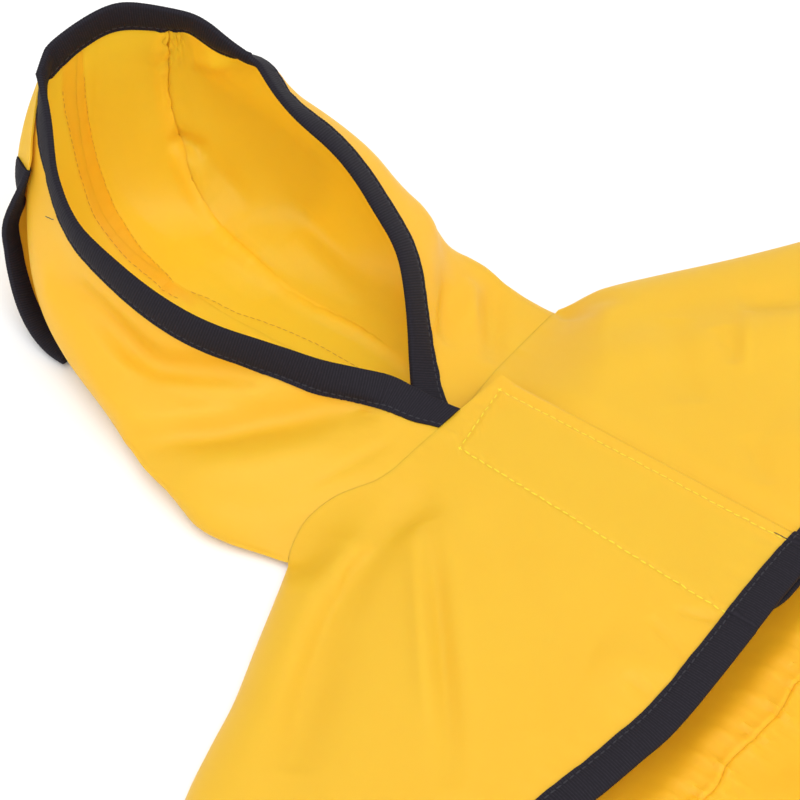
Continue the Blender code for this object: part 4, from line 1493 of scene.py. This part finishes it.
@dataclass
class BodyPlan:
    """Outline of the body, and the heights of the chest and the back over the table.

    The chest is sewn to the hood's first row: neck_row is that row before its relief, sewn_row after it.
    """

    neck_row: np.ndarray
    sewn_row: np.ndarray
    back_columns: int = 28
    necks: dict = field(init=False)
    sewn: dict = field(init=False)
    outlines: dict = field(init=False)

    def __post_init__(self) -> None:
        """Works out the neck and the outline on each side."""
        self.necks = {side: self.neck_line(self.neck_row, side) for side in Shore}
        self.sewn = {side: self.neck_line(self.sewn_row, side) for side in Shore}
        self.outlines = {side: self.shoulder_line(side) for side in Shore}

    @staticmethod
    def neck_line(row: np.ndarray, side: Shore) -> np.ndarray:
        """Half the neck seam over the chest, on to the front edge of its flap, in order of y.

        Args:
            row: The hood's first row.
            side: Side that is meant.

        Returns:
            Points of the line.
        """
        if side is Shore.NEAR:
            upper = row[: np.argmin(row[:, 1]) + 1]
            front = upper[0] + (1.2, RIGHT_FLAP_EDGE - upper[0][1], -0.8)
        else:
            upper = row[np.argmax(row[:, 1]) :][::-1]
            front = upper[0] + (0.4, LEFT_FLAP_EDGE - 2 - upper[0][1], -0.5)
        line = np.concatenate([[front], upper])
        return line[np.argsort(line[:, 1])]

    @staticmethod
    def shoulder_line(side: Shore) -> np.ndarray:
        """Outline of one shoulder and side, from the neck to the chest hem, as points on the table.

        Args:
            side: Side that is meant.

        Returns:
            Points of the outline.
        """
        rows = [((s.near_x if side is Shore.NEAR else s.far_x), side.value * s.y, 0) for s in SHOULDERS]
        rows.append((HEM_X - HEM_SWEEP, side.value * SIDE_HALF, 0))
        return spline_rows(rows, 4)

    def top_edge_x(self, y: np.ndarray, side: Shore) -> np.ndarray:
        """x of a flap's top edge at each y: the neck seam, then the shoulder.

        Args:
            y: Places across the coat.
            side: Side that is meant.

        Returns:
            x at each y.
        """
        neck, outline = self.necks[side], self.outlines[side]
        shoulder = outline[: 4 * (len(SHOULDERS) - 1) + 1]
        beside = np.interp(side.value * y, side.value * shoulder[:, 1], shoulder[:, 0])
        return np.where(side.value * y > NECK_HALF, beside, np.interp(y, neck[:, 1], neck[:, 0]))

    @staticmethod
    def hem_x(y: np.ndarray, side: Shore) -> np.ndarray:
        """x of the chest hem at each y: it wavers, and the left flap's front corner is rounded.

        Args:
            y: Places across the coat.
            side: Side that is meant.

        Returns:
            x at each y.
        """
        hem = HEM_X - HEM_SWEEP * np.clip(np.abs(y) / SIDE_HALF, 0, 1) ** 3
        if side is Shore.FAR:
            return hem - 12.0 * smooth((10 - y) / 34.0) ** 1.3
        knots = spline_rows(np.array(HEM_WAVER, float), 6)
        return hem + np.interp(y, knots[::-1, 0], knots[::-1, 1])

    def side_distance(self, points: np.ndarray) -> np.ndarray:
        """Distance from each point to the outline of shoulders and sides."""
        near, far = (path_distance(points, line[:, :2])[0] for line in self.outlines.values())
        return np.minimum(near, far)

    @staticmethod
    def flap_edge(x: np.ndarray) -> np.ndarray:
        """y of the right flap's front edge at each x."""
        return RIGHT_FLAP_EDGE - 1.5 + 6.5 * np.clip((x - 17) / 125.0, 0, 1.1)

    def chest_height(self, points: np.ndarray, side: Shore) -> np.ndarray:
        """Height of a flap's outer surface over the table.

        Args:
            points: Places, in mm.
            side: Side that is meant.

        Returns:
            The heights in mm.
        """
        x, y = points[..., 0], points[..., 1]
        rest = 2 * SOLID_CLOTH + SEAM_GAP - 0.05
        share = np.clip((self.side_distance(points) - SIDE_INSET) / FOLD_RADIUS, 0, 1)
        rounding = np.sqrt(1 - (1 - share) ** 2)
        rise = SIDE_RISE + (CHEST_RISE - SIDE_RISE) * bell(y, 100)
        dome = rest + (rise - rest) * rounding + fold_height(points, CHEST_FOLDS) * share
        if side is Shore.FAR:
            past = y - self.flap_edge(x)
            low = FLAP_DROP - FLAP_DIP
            dome = dome - low * (1 - smooth((past + 7) / 7.0)) - FLAP_DIP * (1 - smooth(past / 10.0))
        neck = np.interp(y, self.necks[side][:, 1], self.necks[side][:, 2])
        ramp = 45.0 - 18.0 * smooth((np.abs(y) - 45) / 40.0)
        into_chest = smooth((x - self.top_edge_x(y, side)) / ramp)
        necked = neck + (dome - neck) * into_chest
        return necked + (dome - necked) * smooth((np.abs(y) - 78) / 22.0)

    def flap(self, side: Shore, y: np.ndarray, shares: np.ndarray) -> np.ndarray:
        """Outer surface of a front flap: rows from neck to hem, columns at the given y.

        Args:
            side: Side that is meant.
            y: Places across the coat.
            shares: Shares of the way from the neck to the hem.

        Returns:
            The grid of points.
        """
        grid = np.zeros((len(shares), len(y), 3))
        grid[..., 1] = y
        if side is Shore.NEAR:
            shift = -1.5 + 6.5 * shares[:, None]
            grid[..., 1] += shift * smooth((y + 24) / (RIGHT_FLAP_EDGE + 24))
        y = grid[..., 1]
        top, bottom = self.top_edge_x(y, side) + SEWN_GAP, self.hem_x(y, side)
        grid[..., 0] = top + (bottom - top) * shares[:, None]
        grid[..., 2] = self.chest_height(grid, side)
        return grid

    def meet_neck(self, grid: np.ndarray, side: Shore) -> np.ndarray:
        """Moves a flap's first rows so that its edge meets the hood's sewn edge.

        Args:
            grid: Rows and columns of points.
            side: Side that is meant.

        Returns:
            The moved grid.
        """
        line, y = self.sewn[side], grid[0, :, 1]
        inside = (y >= line[0, 1]) & (y <= line[-1, 1])
        target = resample(line, np.interp(y, line[:, 1], distances(line)))
        off = (target + (SEWN_GAP, 0, 0) - grid[0]) * inside[:, None]
        _, down = grid_lengths(grid)
        return grid + off * (1 - smooth(down / 9.0))[..., None]

    def back_half_width(self, x: float, side: Shore) -> float:
        """Half width of the back at x.

        Args:
            x: Place along the coat.
            side: Side that is meant.

        Returns:
            The half width in mm.
        """
        if x <= HEM_X - HEM_SWEEP:
            line = self.outlines[side]
            return float(np.interp(x, line[:, 0], np.abs(line[:, 1])))
        tail_share = min(max((x - TAIL_CURVE_X) / (TAIL_X - TAIL_CURVE_X), 0), 1)
        tail = SIDE_HALF - (SIDE_HALF - TAIL_HALF) * smooth((x - HEM_X) / (TAIL_X - HEM_X))
        return float(tail * math.sqrt(1 - 0.86 * tail_share**3))

    def back(self, xs: np.ndarray) -> np.ndarray:
        """Underside of the back between the given stations, raised a little along its bound edge.

        Args:
            xs: Stations along the coat.

        Returns:
            The grid of points.
        """
        flat, level, half = TAPE_WIDTH + 6, TAPE_WIDTH + 20, self.back_columns
        grid = np.zeros((len(xs), 2 * half + 17, 3))
        bound = np.linspace(0, flat, 5)
        ease = np.linspace(flat, level, 5)[1:-1]
        for row, x in enumerate(xs):
            near, far = (self.back_half_width(x, side) for side in Shore)
            grid[row, :, 0] = x
            grid[row, :, 1] = np.concatenate([
                bound - near, ease - near, np.linspace(level - near, 0, half + 1),
                np.linspace(0, far - level, half + 1)[1:], far - ease[::-1], far - bound[::-1]])
        free = [grid[:, 0], grid[:, -1]] + [grid[-1]] * (xs[-1] == TAIL_X)
        inset = np.min([path_distance(grid, line[:, :2])[0] for line in free], axis=0)
        past_hem = smooth((grid[..., 0] - (HEM_X - HEM_SWEEP) + 12) / 14.0)
        lift = (SOLID_TAPE + SOLID_TAPE_GAP + 0.05) * (1 - smooth((inset - flat) / (level - flat)))
        ripples = np.maximum(fold_height(grid, BACK_FOLDS), 0.0) * smooth((inset - 10) / 30.0)
        grid[..., 2] = lift * past_hem + ripples * smooth((grid[..., 0] - 130) / 20.0)
        return grid


@dataclass(frozen=True)
class ClosureBox:
    """Hook-and-loop strips, and the line of sewing round them on the right flap."""

    upper: tuple = ((19.3, 17.7), (146.0, 24.4))
    lower: tuple = ((25.4, -15.3), (146.0, -16.9))
    width: float = 37.0
    centre_y: float = 2.0
    start_x: float = 21.0
    end_x: float = 140.0
    wall: float = 1.3

    def corners(self) -> np.ndarray:
        """Corners of the sewing: from the hem tape to the neck end, across and back."""
        return np.array([self.lower[1], self.lower[0], self.upper[0], self.upper[1]])

    def depth_inside(self, points: np.ndarray) -> np.ndarray:
        """Distance from each point to the line of sewing, positive inside it.

        Args:
            points: Places, in mm.

        Returns:
            The distances in mm.
        """
        x, y = points[..., 0], points[..., 1]
        below = np.interp(x, *np.array(self.upper).T) - y
        above = y - np.interp(x, *np.array(self.lower).T)
        end = np.interp(y, (self.lower[0][1], self.upper[0][1]), (self.lower[0][0], self.upper[0][0]))
        return np.minimum(np.minimum(below, above), x - end)


@dataclass
class Chest:
    """Two front flaps that overlap, the closure between them and the tape along their hems."""

    plan: BodyPlan
    closure: ClosureBox = field(default_factory=ClosureBox)
    folded_edge: float = 2.6
    hem_tape: Tape = field(default_factory=lambda: Tape(width=12.3))
    hem_tape_end: float = 24.0
    box_stitch: Stitching = field(default_factory=lambda: Stitching(
        length=3.0, gap=0.5, width=0.62, height=0.4, seed=5))

    @staticmethod
    def upward(grid: np.ndarray) -> np.ndarray:
        """Normals of a grid, turned so that none points down."""
        out = grid_normals(grid)
        return np.where(out[..., 2:] < 0, -out, out)

    def flaps(self) -> dict[Shore, Sheet]:
        """Works out the two flaps with their relief.

        Returns:
            The flaps by side.
        """
        made = {}
        t = np.linspace(0, 1, 121)
        shares = t - 0.25 * np.sin(2 * math.pi * t) / (2 * math.pi)
        near_y = np.concatenate([np.linspace(RIGHT_FLAP_EDGE, -24, 72)[:-1],
                                 np.linspace(-24, SIDE_INSET - SIDE_HALF, 125)])
        far_y = np.concatenate([np.linspace(LEFT_FLAP_EDGE, 24, 24)[:-1],
                                np.linspace(24, SIDE_HALF - SIDE_INSET, 125)])
        for side, y in ((Shore.NEAR, near_y), (Shore.FAR, far_y)):
            grid = self.plan.flap(side, y, shares)
            grid, wall = self.relief(grid, self.upward(grid), side)
            grid = self.plan.meet_neck(grid, side)
            name = "front_right_flap" if side is Shore.NEAR else "front_left_flap"
            made[side] = Sheet(name, grid, self.upward(grid), wall)
        return made

    def relief(self, grid: np.ndarray, out: np.ndarray, side: Shore) -> tuple[np.ndarray, np.ndarray]:
        """Adds soft creases, puckers beside the sewing, the folded front edge and the closure's box.

        Args:
            grid: Outer surface of the flap.
            out: Ways out of the coat.
            side: Which flap it is.

        Returns:
            The surface with its relief, and the wall at each point.
        """
        across, down = grid_lengths(grid)
        to_hem = down[-1] - down
        edge_fade = smooth(self.plan.side_distance(grid) / 14.0)
        lift = fold_height(grid, CHEST_CREASES) * edge_fade
        on_neck = smooth((NECK_HALF + 2 - np.abs(grid[..., 1])) / 12.0)
        lift += NECK_PUCKER.lift(down, grid[..., 1]) * on_neck
        lift -= 0.05 * bell(down, 1.3) * on_neck
        lift += HEM_PUCKER.lift(to_hem - TAPE_WIDTH - 2, across, side.value) * edge_fade
        wall = np.full(grid.shape[:2], CLOTH_WALL)
        if side is Shore.NEAR:
            lift -= 1.1 * (1 - smooth(across / self.folded_edge)) ** 2
            wall += 0.5 * (1 - smooth((across - 9) / 1.5)) * smooth(across / 1.5)
            inside = self.closure.depth_inside(grid)
            lift += 0.45 * smooth((inside + 0.6) / 1.6)
            lift -= 0.38 * bell(inside, 0.75)
            lift += BOX_PUCKER.lift(inside, grid[..., 0] + grid[..., 1])
        return grid + out * lift[..., None], wall

    def build(self, finishes: Wardrobe, stitches: Stitching) -> dict[Shore, Sheet]:
        """Makes the flaps, the strips, the hem tapes and their stitches.

        Args:
            finishes: The materials.
            stitches: How the tape is sewn.

        Returns:
            The flaps by side.
        """
        flaps = self.flaps()
        for side, solid in ((Shore.NEAR, "front_right"), (Shore.FAR, "front_left")):
            sheet = flaps[side]
            declare(place_piece(sheet.build(finishes.cloth), Slot.CLOTH, solid), sheet)
            hand = solid.split("_")[1]
            edge, hints = rim(sheet.middle, ("last row",))
            kept = np.abs(edge[:, 1]) < SIDE_HALF - self.hem_tape_end
            bind(f"hem_tape_{hand}", f"hem_binding_{hand}", self.hem_tape, Skin(sheet.middle, sheet.out),
                 (edge[kept], hints[kept]), finishes, stitches)
        for strip, solid in zip(self.strips(flaps[Shore.NEAR]), ("hook_strip", "loop_strip")):
            declare(place_piece(strip.build(finishes.closure), Slot.CLOSURE, solid), strip)
        seams = self.box_seams(flaps[Shore.NEAR])
        sewn = self.box_stitch.sew("closure_stitches", seams, finishes.yellow_thread)
        place_piece(sewn, Slot.CLOTH)
        return flaps

    def strips(self, flap: Sheet) -> list[Sheet]:
        """Hook strip against the right flap's inner face, and the loop strip under it.

        Args:
            flap: The right flap's sheet.

        Returns:
            The two strips.
        """
        box = self.closure
        columns = np.flatnonzero(np.abs(flap.outer[0, :, 1] - box.centre_y + 2) < box.width / 2 - 1)
        middle = flap.outer[:, columns[len(columns) // 2], 0]
        rows = np.flatnonzero((middle > box.start_x + 5) & (middle < box.end_x))
        part = np.ix_(rows[::2], columns[::2])
        top, out = flap.inner[part] - flap.out[part] * 0.15, flap.out[part]
        under = top - out * (box.wall + SEAM_GAP)
        return [Sheet("hook_strip_tape", top, out, box.wall), Sheet("loop_strip_tape", under, out, box.wall)]

    def box_seams(self, sheet: Sheet) -> list[Seam]:
        """The box of stitches round the closure, on the right flap.

        Args:
            sheet: The right flap's sheet.

        Returns:
            The box's seams.
        """
        corners = self.closure.corners()
        seams = []
        skin = Skin(sheet.outer, sheet.out)
        for a, b in zip(corners[:-1], corners[1:]):
            count = max(int(np.linalg.norm(b - a) / 1.0), 2)
            flat = a + (b - a) * np.linspace(0, 1, count)[:, None]
            points, out = [], []
            for x, y in flat:
                column = np.interp(-y, -sheet.outer[0, :, 1], np.arange(sheet.outer.shape[1]))
                place = np.array([x, y, np.interp(x, sheet.outer[:, round(column), 0],
                                                  sheet.outer[:, round(column), 2])])
                at, normal = skin.near(place)
                points.append(at)
                out.append(normal)
            seams.append(Seam(np.array(points), np.array(out)))
        return seams


@dataclass
class Back:
    """Upper and lower back on the table, gathered at their cross seam, and the tape round them."""

    plan: BodyPlan
    tape_start: float = 6.0

    def sheets(self) -> list[Sheet]:
        """Works out the two panels.

        Returns:
            The two panels.
        """
        upper_x = np.concatenate([np.linspace(SEAM_GAP, 130, 40)[:-1], np.linspace(130, YOKE_X, 48)])
        lower_x = np.concatenate([np.linspace(YOKE_X + SEWN_GAP, 230, 54)[:-1],
                                  np.linspace(230, TAIL_X, 70)])
        made = []
        for name, xs in (("back_upper_panel", upper_x), ("back_lower_panel", lower_x)):
            grid = spline_rows(self.plan.back(xs).transpose(1, 0, 2), 3).transpose(1, 0, 2)
            x, y = grid[..., 0], grid[..., 1]
            away = np.abs(x - YOKE_X)
            reach = np.where(x < YOKE_X, 13.0, 9.0)
            gather = bell(away, reach) * (0.5 + 0.5 * uneven_wave(y + 0.2 * away, 6.5, 51))
            seam = 1.1 * bell(away, 3.0) - 0.9 * bell(away, 0.8)
            inside = smooth((SIDE_HALF - np.abs(y)) / 60.0)
            top = np.zeros_like(grid)
            top[..., 0] = 1.5 * uneven_wave(y, 34.0, 57) * bell(away, 16.0) * inside
            top[..., 2] = CLOTH_WALL + np.maximum(2.3 * gather + seam, 0.0) * inside
            up = np.zeros_like(grid)
            up[..., 2] = 1.0
            made.append(Sheet(name, grid + top, up, CLOTH_WALL))
        return made

    def build(self, finishes: Wardrobe, stitches: Stitching) -> None:
        """Makes the panels, the tape and its stitches.

        Args:
            finishes: The materials.
            stitches: How the tape is sewn.
        """
        sheets = self.sheets()
        for sheet, solid in zip(sheets, ("back_upper", "back_lower")):
            # The back panels take the cloth's painted shade copy.
            declare(place_piece(sheet.build(finishes.back_painted_shade_cloth), Slot.CLOTH, solid), sheet)
        middle = np.concatenate([sheet.middle for sheet in sheets])
        edge, hints = rim(middle, FREE_SIDES)
        kept = edge[:, 0] > HEM_X - HEM_SWEEP + self.tape_start
        up = np.zeros_like(middle)
        up[..., 2] = 1.0
        bind("back_tape", "back_binding", Tape(), Skin(middle, up), (edge[kept], hints[kept]),
             finishes, stitches)


@dataclass
class Brim:
    """Bound brim turned back over the hood's crown."""

    hood: Hood
    rows: tuple = (13, 23)
    columns: int = 20
    near_column: tuple = ((13, 7), (17, 7), (18, 6.8), (19, 6), (20, 3.4), (21, 2.7), (23, 2.8))
    far_column: tuple = ((13, 26), (18, 26), (23, 23))
    near_lift: float = 11.0
    far_lift: float = 5.0
    lift_reach: float = 34.0
    floor: float = 2.5
    floor_softening: float = 2.0
    tape_width: float = 9.4
    tape_end: float = 6.0
    tucked_height: float = 73.0
    root_inset: float = 10.0
    root_from: float = 21.0
    root_rest: float = 1.0

    def places(self) -> tuple[np.ndarray, np.ndarray]:
        """Row and column of each brim point on the hood's grid: the root ends under the hood's tape.

        Returns:
            The rows and the columns.
        """
        grid = self.hood.coarse
        rows = np.arange(self.rows[0], self.rows[1] + 1.0)[:, None]
        first = np.interp(rows, *np.array(self.near_column).T)
        last = np.interp(rows, *np.array(self.far_column).T)
        columns = first + (last - first) * np.linspace(0, 1, self.columns)
        from_rim = grid_lengths(grid[::-1])[1]
        upwards = len(grid) - 1.0 - np.arange(len(grid))
        root = [np.interp(self.root_inset, line, upwards) for line in from_rim.T]
        root = np.interp(columns, np.arange(len(root)), root)
        share = np.clip((rows - self.root_from) / (self.rows[1] - self.root_from), 0, 1)
        return rows + (root - self.rows[1]) * share, columns

    def drawn_in(self, grid: np.ndarray) -> np.ndarray:
        """The part of a grid that the brim lies over.

        Args:
            grid: Rows and columns of points.

        Returns:
            The brim's part of the grid.
        """
        rows, columns = self.places()
        row, column = np.floor(rows).astype(int), np.floor(columns).astype(int)
        down, aside = (rows - row)[..., None], (columns - column)[..., None]
        upper = grid[row, column] * (1 - aside) + grid[row, column + 1] * aside
        lower = grid[row + 1, column] * (1 - aside) + grid[row + 1, column + 1] * aside
        return upper * (1 - down) + lower * down

    def surface(self) -> np.ndarray:
        """Outer surface: the hood's own, moved out towards the free edges.

        Returns:
            The grid of points.
        """
        under = self.drawn_in(self.hood.coarse)
        normals = self.drawn_in(grid_normals(self.hood.coarse))
        free = np.concatenate([under[:, 0], under[0], under[:, -1]])
        from_edge = np.linalg.norm(under[:, :, None] - free, axis=-1).min(axis=-1)
        share = np.arange(len(under)) / (len(under) - 1)
        root_fade = 1 - 0.8 * smooth((share - 0.6) / 0.4)[:, None]
        near_root = smooth((share - 0.8) / 0.2)[:, None]
        ridges = np.maximum(fold_height(under, HOOD_CREASES), 0.0)
        rest = SOLID_CLOTH + 1.0 - self.root_rest * near_root + ridges
        aside = np.linspace(0, 1, self.columns)
        full = self.near_lift + (self.far_lift - self.near_lift) * aside - rest
        near_end = smooth((0.76 - share) / 0.24)[:, None]
        full = full * (near_end + (1 - near_end) * smooth(aside / 0.5))
        lift = full * root_fade * (1 - smooth(from_edge / self.lift_reach))
        grid = under + normals * (rest + np.maximum(lift, 0.0))[..., None]
        above = grid[..., 2] - self.floor
        grid[..., 2] = self.floor + (above + np.hypot(above, self.floor_softening)) / 2
        return grid

    def build(self, finishes: Wardrobe, stitches: Stitching) -> None:
        """Makes the brim, its tape and its stitches.

        Args:
            finishes: The materials.
            stitches: How the tape is sewn.
        """
        grid = finer(self.surface(), 5, 5)
        sheet = Sheet("brim_panel", grid, grid_normals(grid))
        declare(place_piece(sheet.build(finishes.cloth), Slot.CLOTH, "brim"), sheet)
        middle, out = sheet.middle[::-1], sheet.out[::-1]
        edge, hints = rim(middle, FREE_SIDES)
        along = distances(edge)
        tucked = np.argmin(np.abs(edge[:, 2] - self.tucked_height) + 100 * (along > along[-1] / 2))
        kept = (along > along[tucked]) & (along < along[-1] - self.tape_end)
        bind("brim_tape", "brim_binding", Tape(width=self.tape_width), Skin(middle, out),
             (edge[kept], hints[kept]), finishes, stitches)


@dataclass
class LooseEnds:
    """Two short ends of navy thread left beside the tape."""

    on_hood: tuple = ((-157.0, -47.0, 58.5), (-153.2, -48.6, 60.6))
    on_flap: tuple = ((141.2, 25.1, 24.5), (145.7, 25.4, 24.3))
    stitch: Stitching = field(default_factory=lambda: Stitching(
        length=3.4, gap=-1.8, width=0.38, height=0.35, seed=2))

    def build(self, hood: Sheet, flap: Sheet, finish: bpy.types.Material) -> None:
        """Lays each end on its sheet.

        Args:
            hood: The hood's sheet.
            flap: The right flap's sheet.
            finish: The thread.
        """
        seams = []
        for sheet, ends in ((hood, self.on_hood), (flap, self.on_flap)):
            skin = Skin(sheet.outer, sheet.out)
            found = [skin.near(at) for at in np.linspace(*np.array(ends), 5)]
            seams.append(Seam(*(np.array(values) for values in zip(*found))))
        place_piece(self.stitch.sew("thread_ends", seams, finish), Slot.TAPE)


# --- table, light and camera ------------------------------------------------------------------------
@dataclass(frozen=True)
class Lamp:
    """A square soft light: its direction in degrees, distance and size in metres, and power in watts."""

    name: str
    azimuth: float
    elevation: float
    distance: float
    size: float
    power: float


LAMPS = (
    Lamp("broad light", 40, 72, 2.6, 2.3, 29),
    Lamp("fill light", 34, 46, 2.8, 2.4, 14),
    Lamp("side light", 96, 34, 2.8, 2.2, 11),
)


@dataclass
class Studio:
    """Pale table, soft light and the camera."""

    azimuth: float = 39.0
    elevation: float = 48.4
    distance: float = 0.9
    lens: float = 101.25
    sensor: float = 36.0
    aim: tuple = (-21.0, 6.0, 0.0)
    table_half: float = 4.0
    table_gap: float = 0.0004
    sky_strength: float = 0.86

    def table(self) -> None:
        """Adds the table."""
        size, low = self.table_half, -self.table_gap
        mesh = bpy.data.meshes.new("table")
        corners = [(-size, -size, low), (size, -size, low), (size, size, low), (-size, size, low)]
        mesh.from_pydata(corners, [], [(0, 1, 2, 3)])
        mesh.materials.append(Tabletop().build())
        new_object("table", mesh)

    def aimed(self, name: str, data: bpy.types.ID, azimuth: float, elevation: float,
              distance: float) -> bpy.types.Object:
        """Adds a light or a camera that looks at the coat.

        Args:
            name: Name of what is made.
            data: What the object holds.
            azimuth: Direction in degrees.
            elevation: Height over the table in degrees.
            distance: Distance from the coat in metres.

        Returns:
            The object.
        """
        a, e = math.radians(azimuth), math.radians(elevation)
        way = Vector((math.sin(a) * math.cos(e), -math.cos(a) * math.cos(e), math.sin(e)))
        made = new_object(name, data)
        made.location = Vector(((np.array(self.aim) - SHIFT) * MM).tolist()) + way * distance
        made.rotation_euler = (-way).to_track_quat("-Z", "Y").to_euler()
        return made

    def light(self, lamp: Lamp) -> None:
        """Adds a square soft light.

        Args:
            lamp: The light.
        """
        data = bpy.data.lights.new(lamp.name, "AREA")
        data.shape = "SQUARE"
        data.size = lamp.size
        data.energy = lamp.power
        data.color = (1.0, 1.0, 1.0)
        self.aimed(lamp.name, data, lamp.azimuth, lamp.elevation, lamp.distance)

    def camera(self) -> None:
        """Adds the camera."""
        data = bpy.data.cameras.new("camera")
        data.lens = self.lens
        data.sensor_width = self.sensor
        data.sensor_fit = "HORIZONTAL"
        data.clip_start = 0.01
        made = self.aimed("camera", data, self.azimuth, self.elevation, self.distance)
        bpy.context.scene.camera = made

    def build(self) -> None:
        """Sets up the table, the lights and the camera."""
        self.table()
        for lamp in LAMPS:
            self.light(lamp)
        world = bpy.data.worlds.new("pale room")
        world.use_nodes = True
        sky = world.node_tree.nodes["Background"]
        sky.inputs["Color"].default_value = (1.0, 1.0, 1.0, 1.0)
        sky.inputs["Strength"].default_value = self.sky_strength
        bpy.context.scene.world = world
        bpy.context.scene.view_settings.view_transform = "Standard"
        self.camera()


def main() -> None:
    """Builds the raincoat and its studio."""
    logging.basicConfig(level=logging.INFO, format="%(message)s")
    finishes = Wardrobe()
    stitches = Stitching()
    Studio().build()
    hood = Hood()
    hood.build(finishes, stitches)
    Brim(hood).build(finishes, stitches)
    plan = BodyPlan(hood.coarse[0], hood.sheet.outer[0])
    flaps = Chest(plan).build(finishes, stitches)
    LooseEnds().build(hood.sheet, flaps[Shore.NEAR], finishes.navy_thread)
    Back(plan).build(finishes, stitches)


if __name__ == "__main__":
    main()
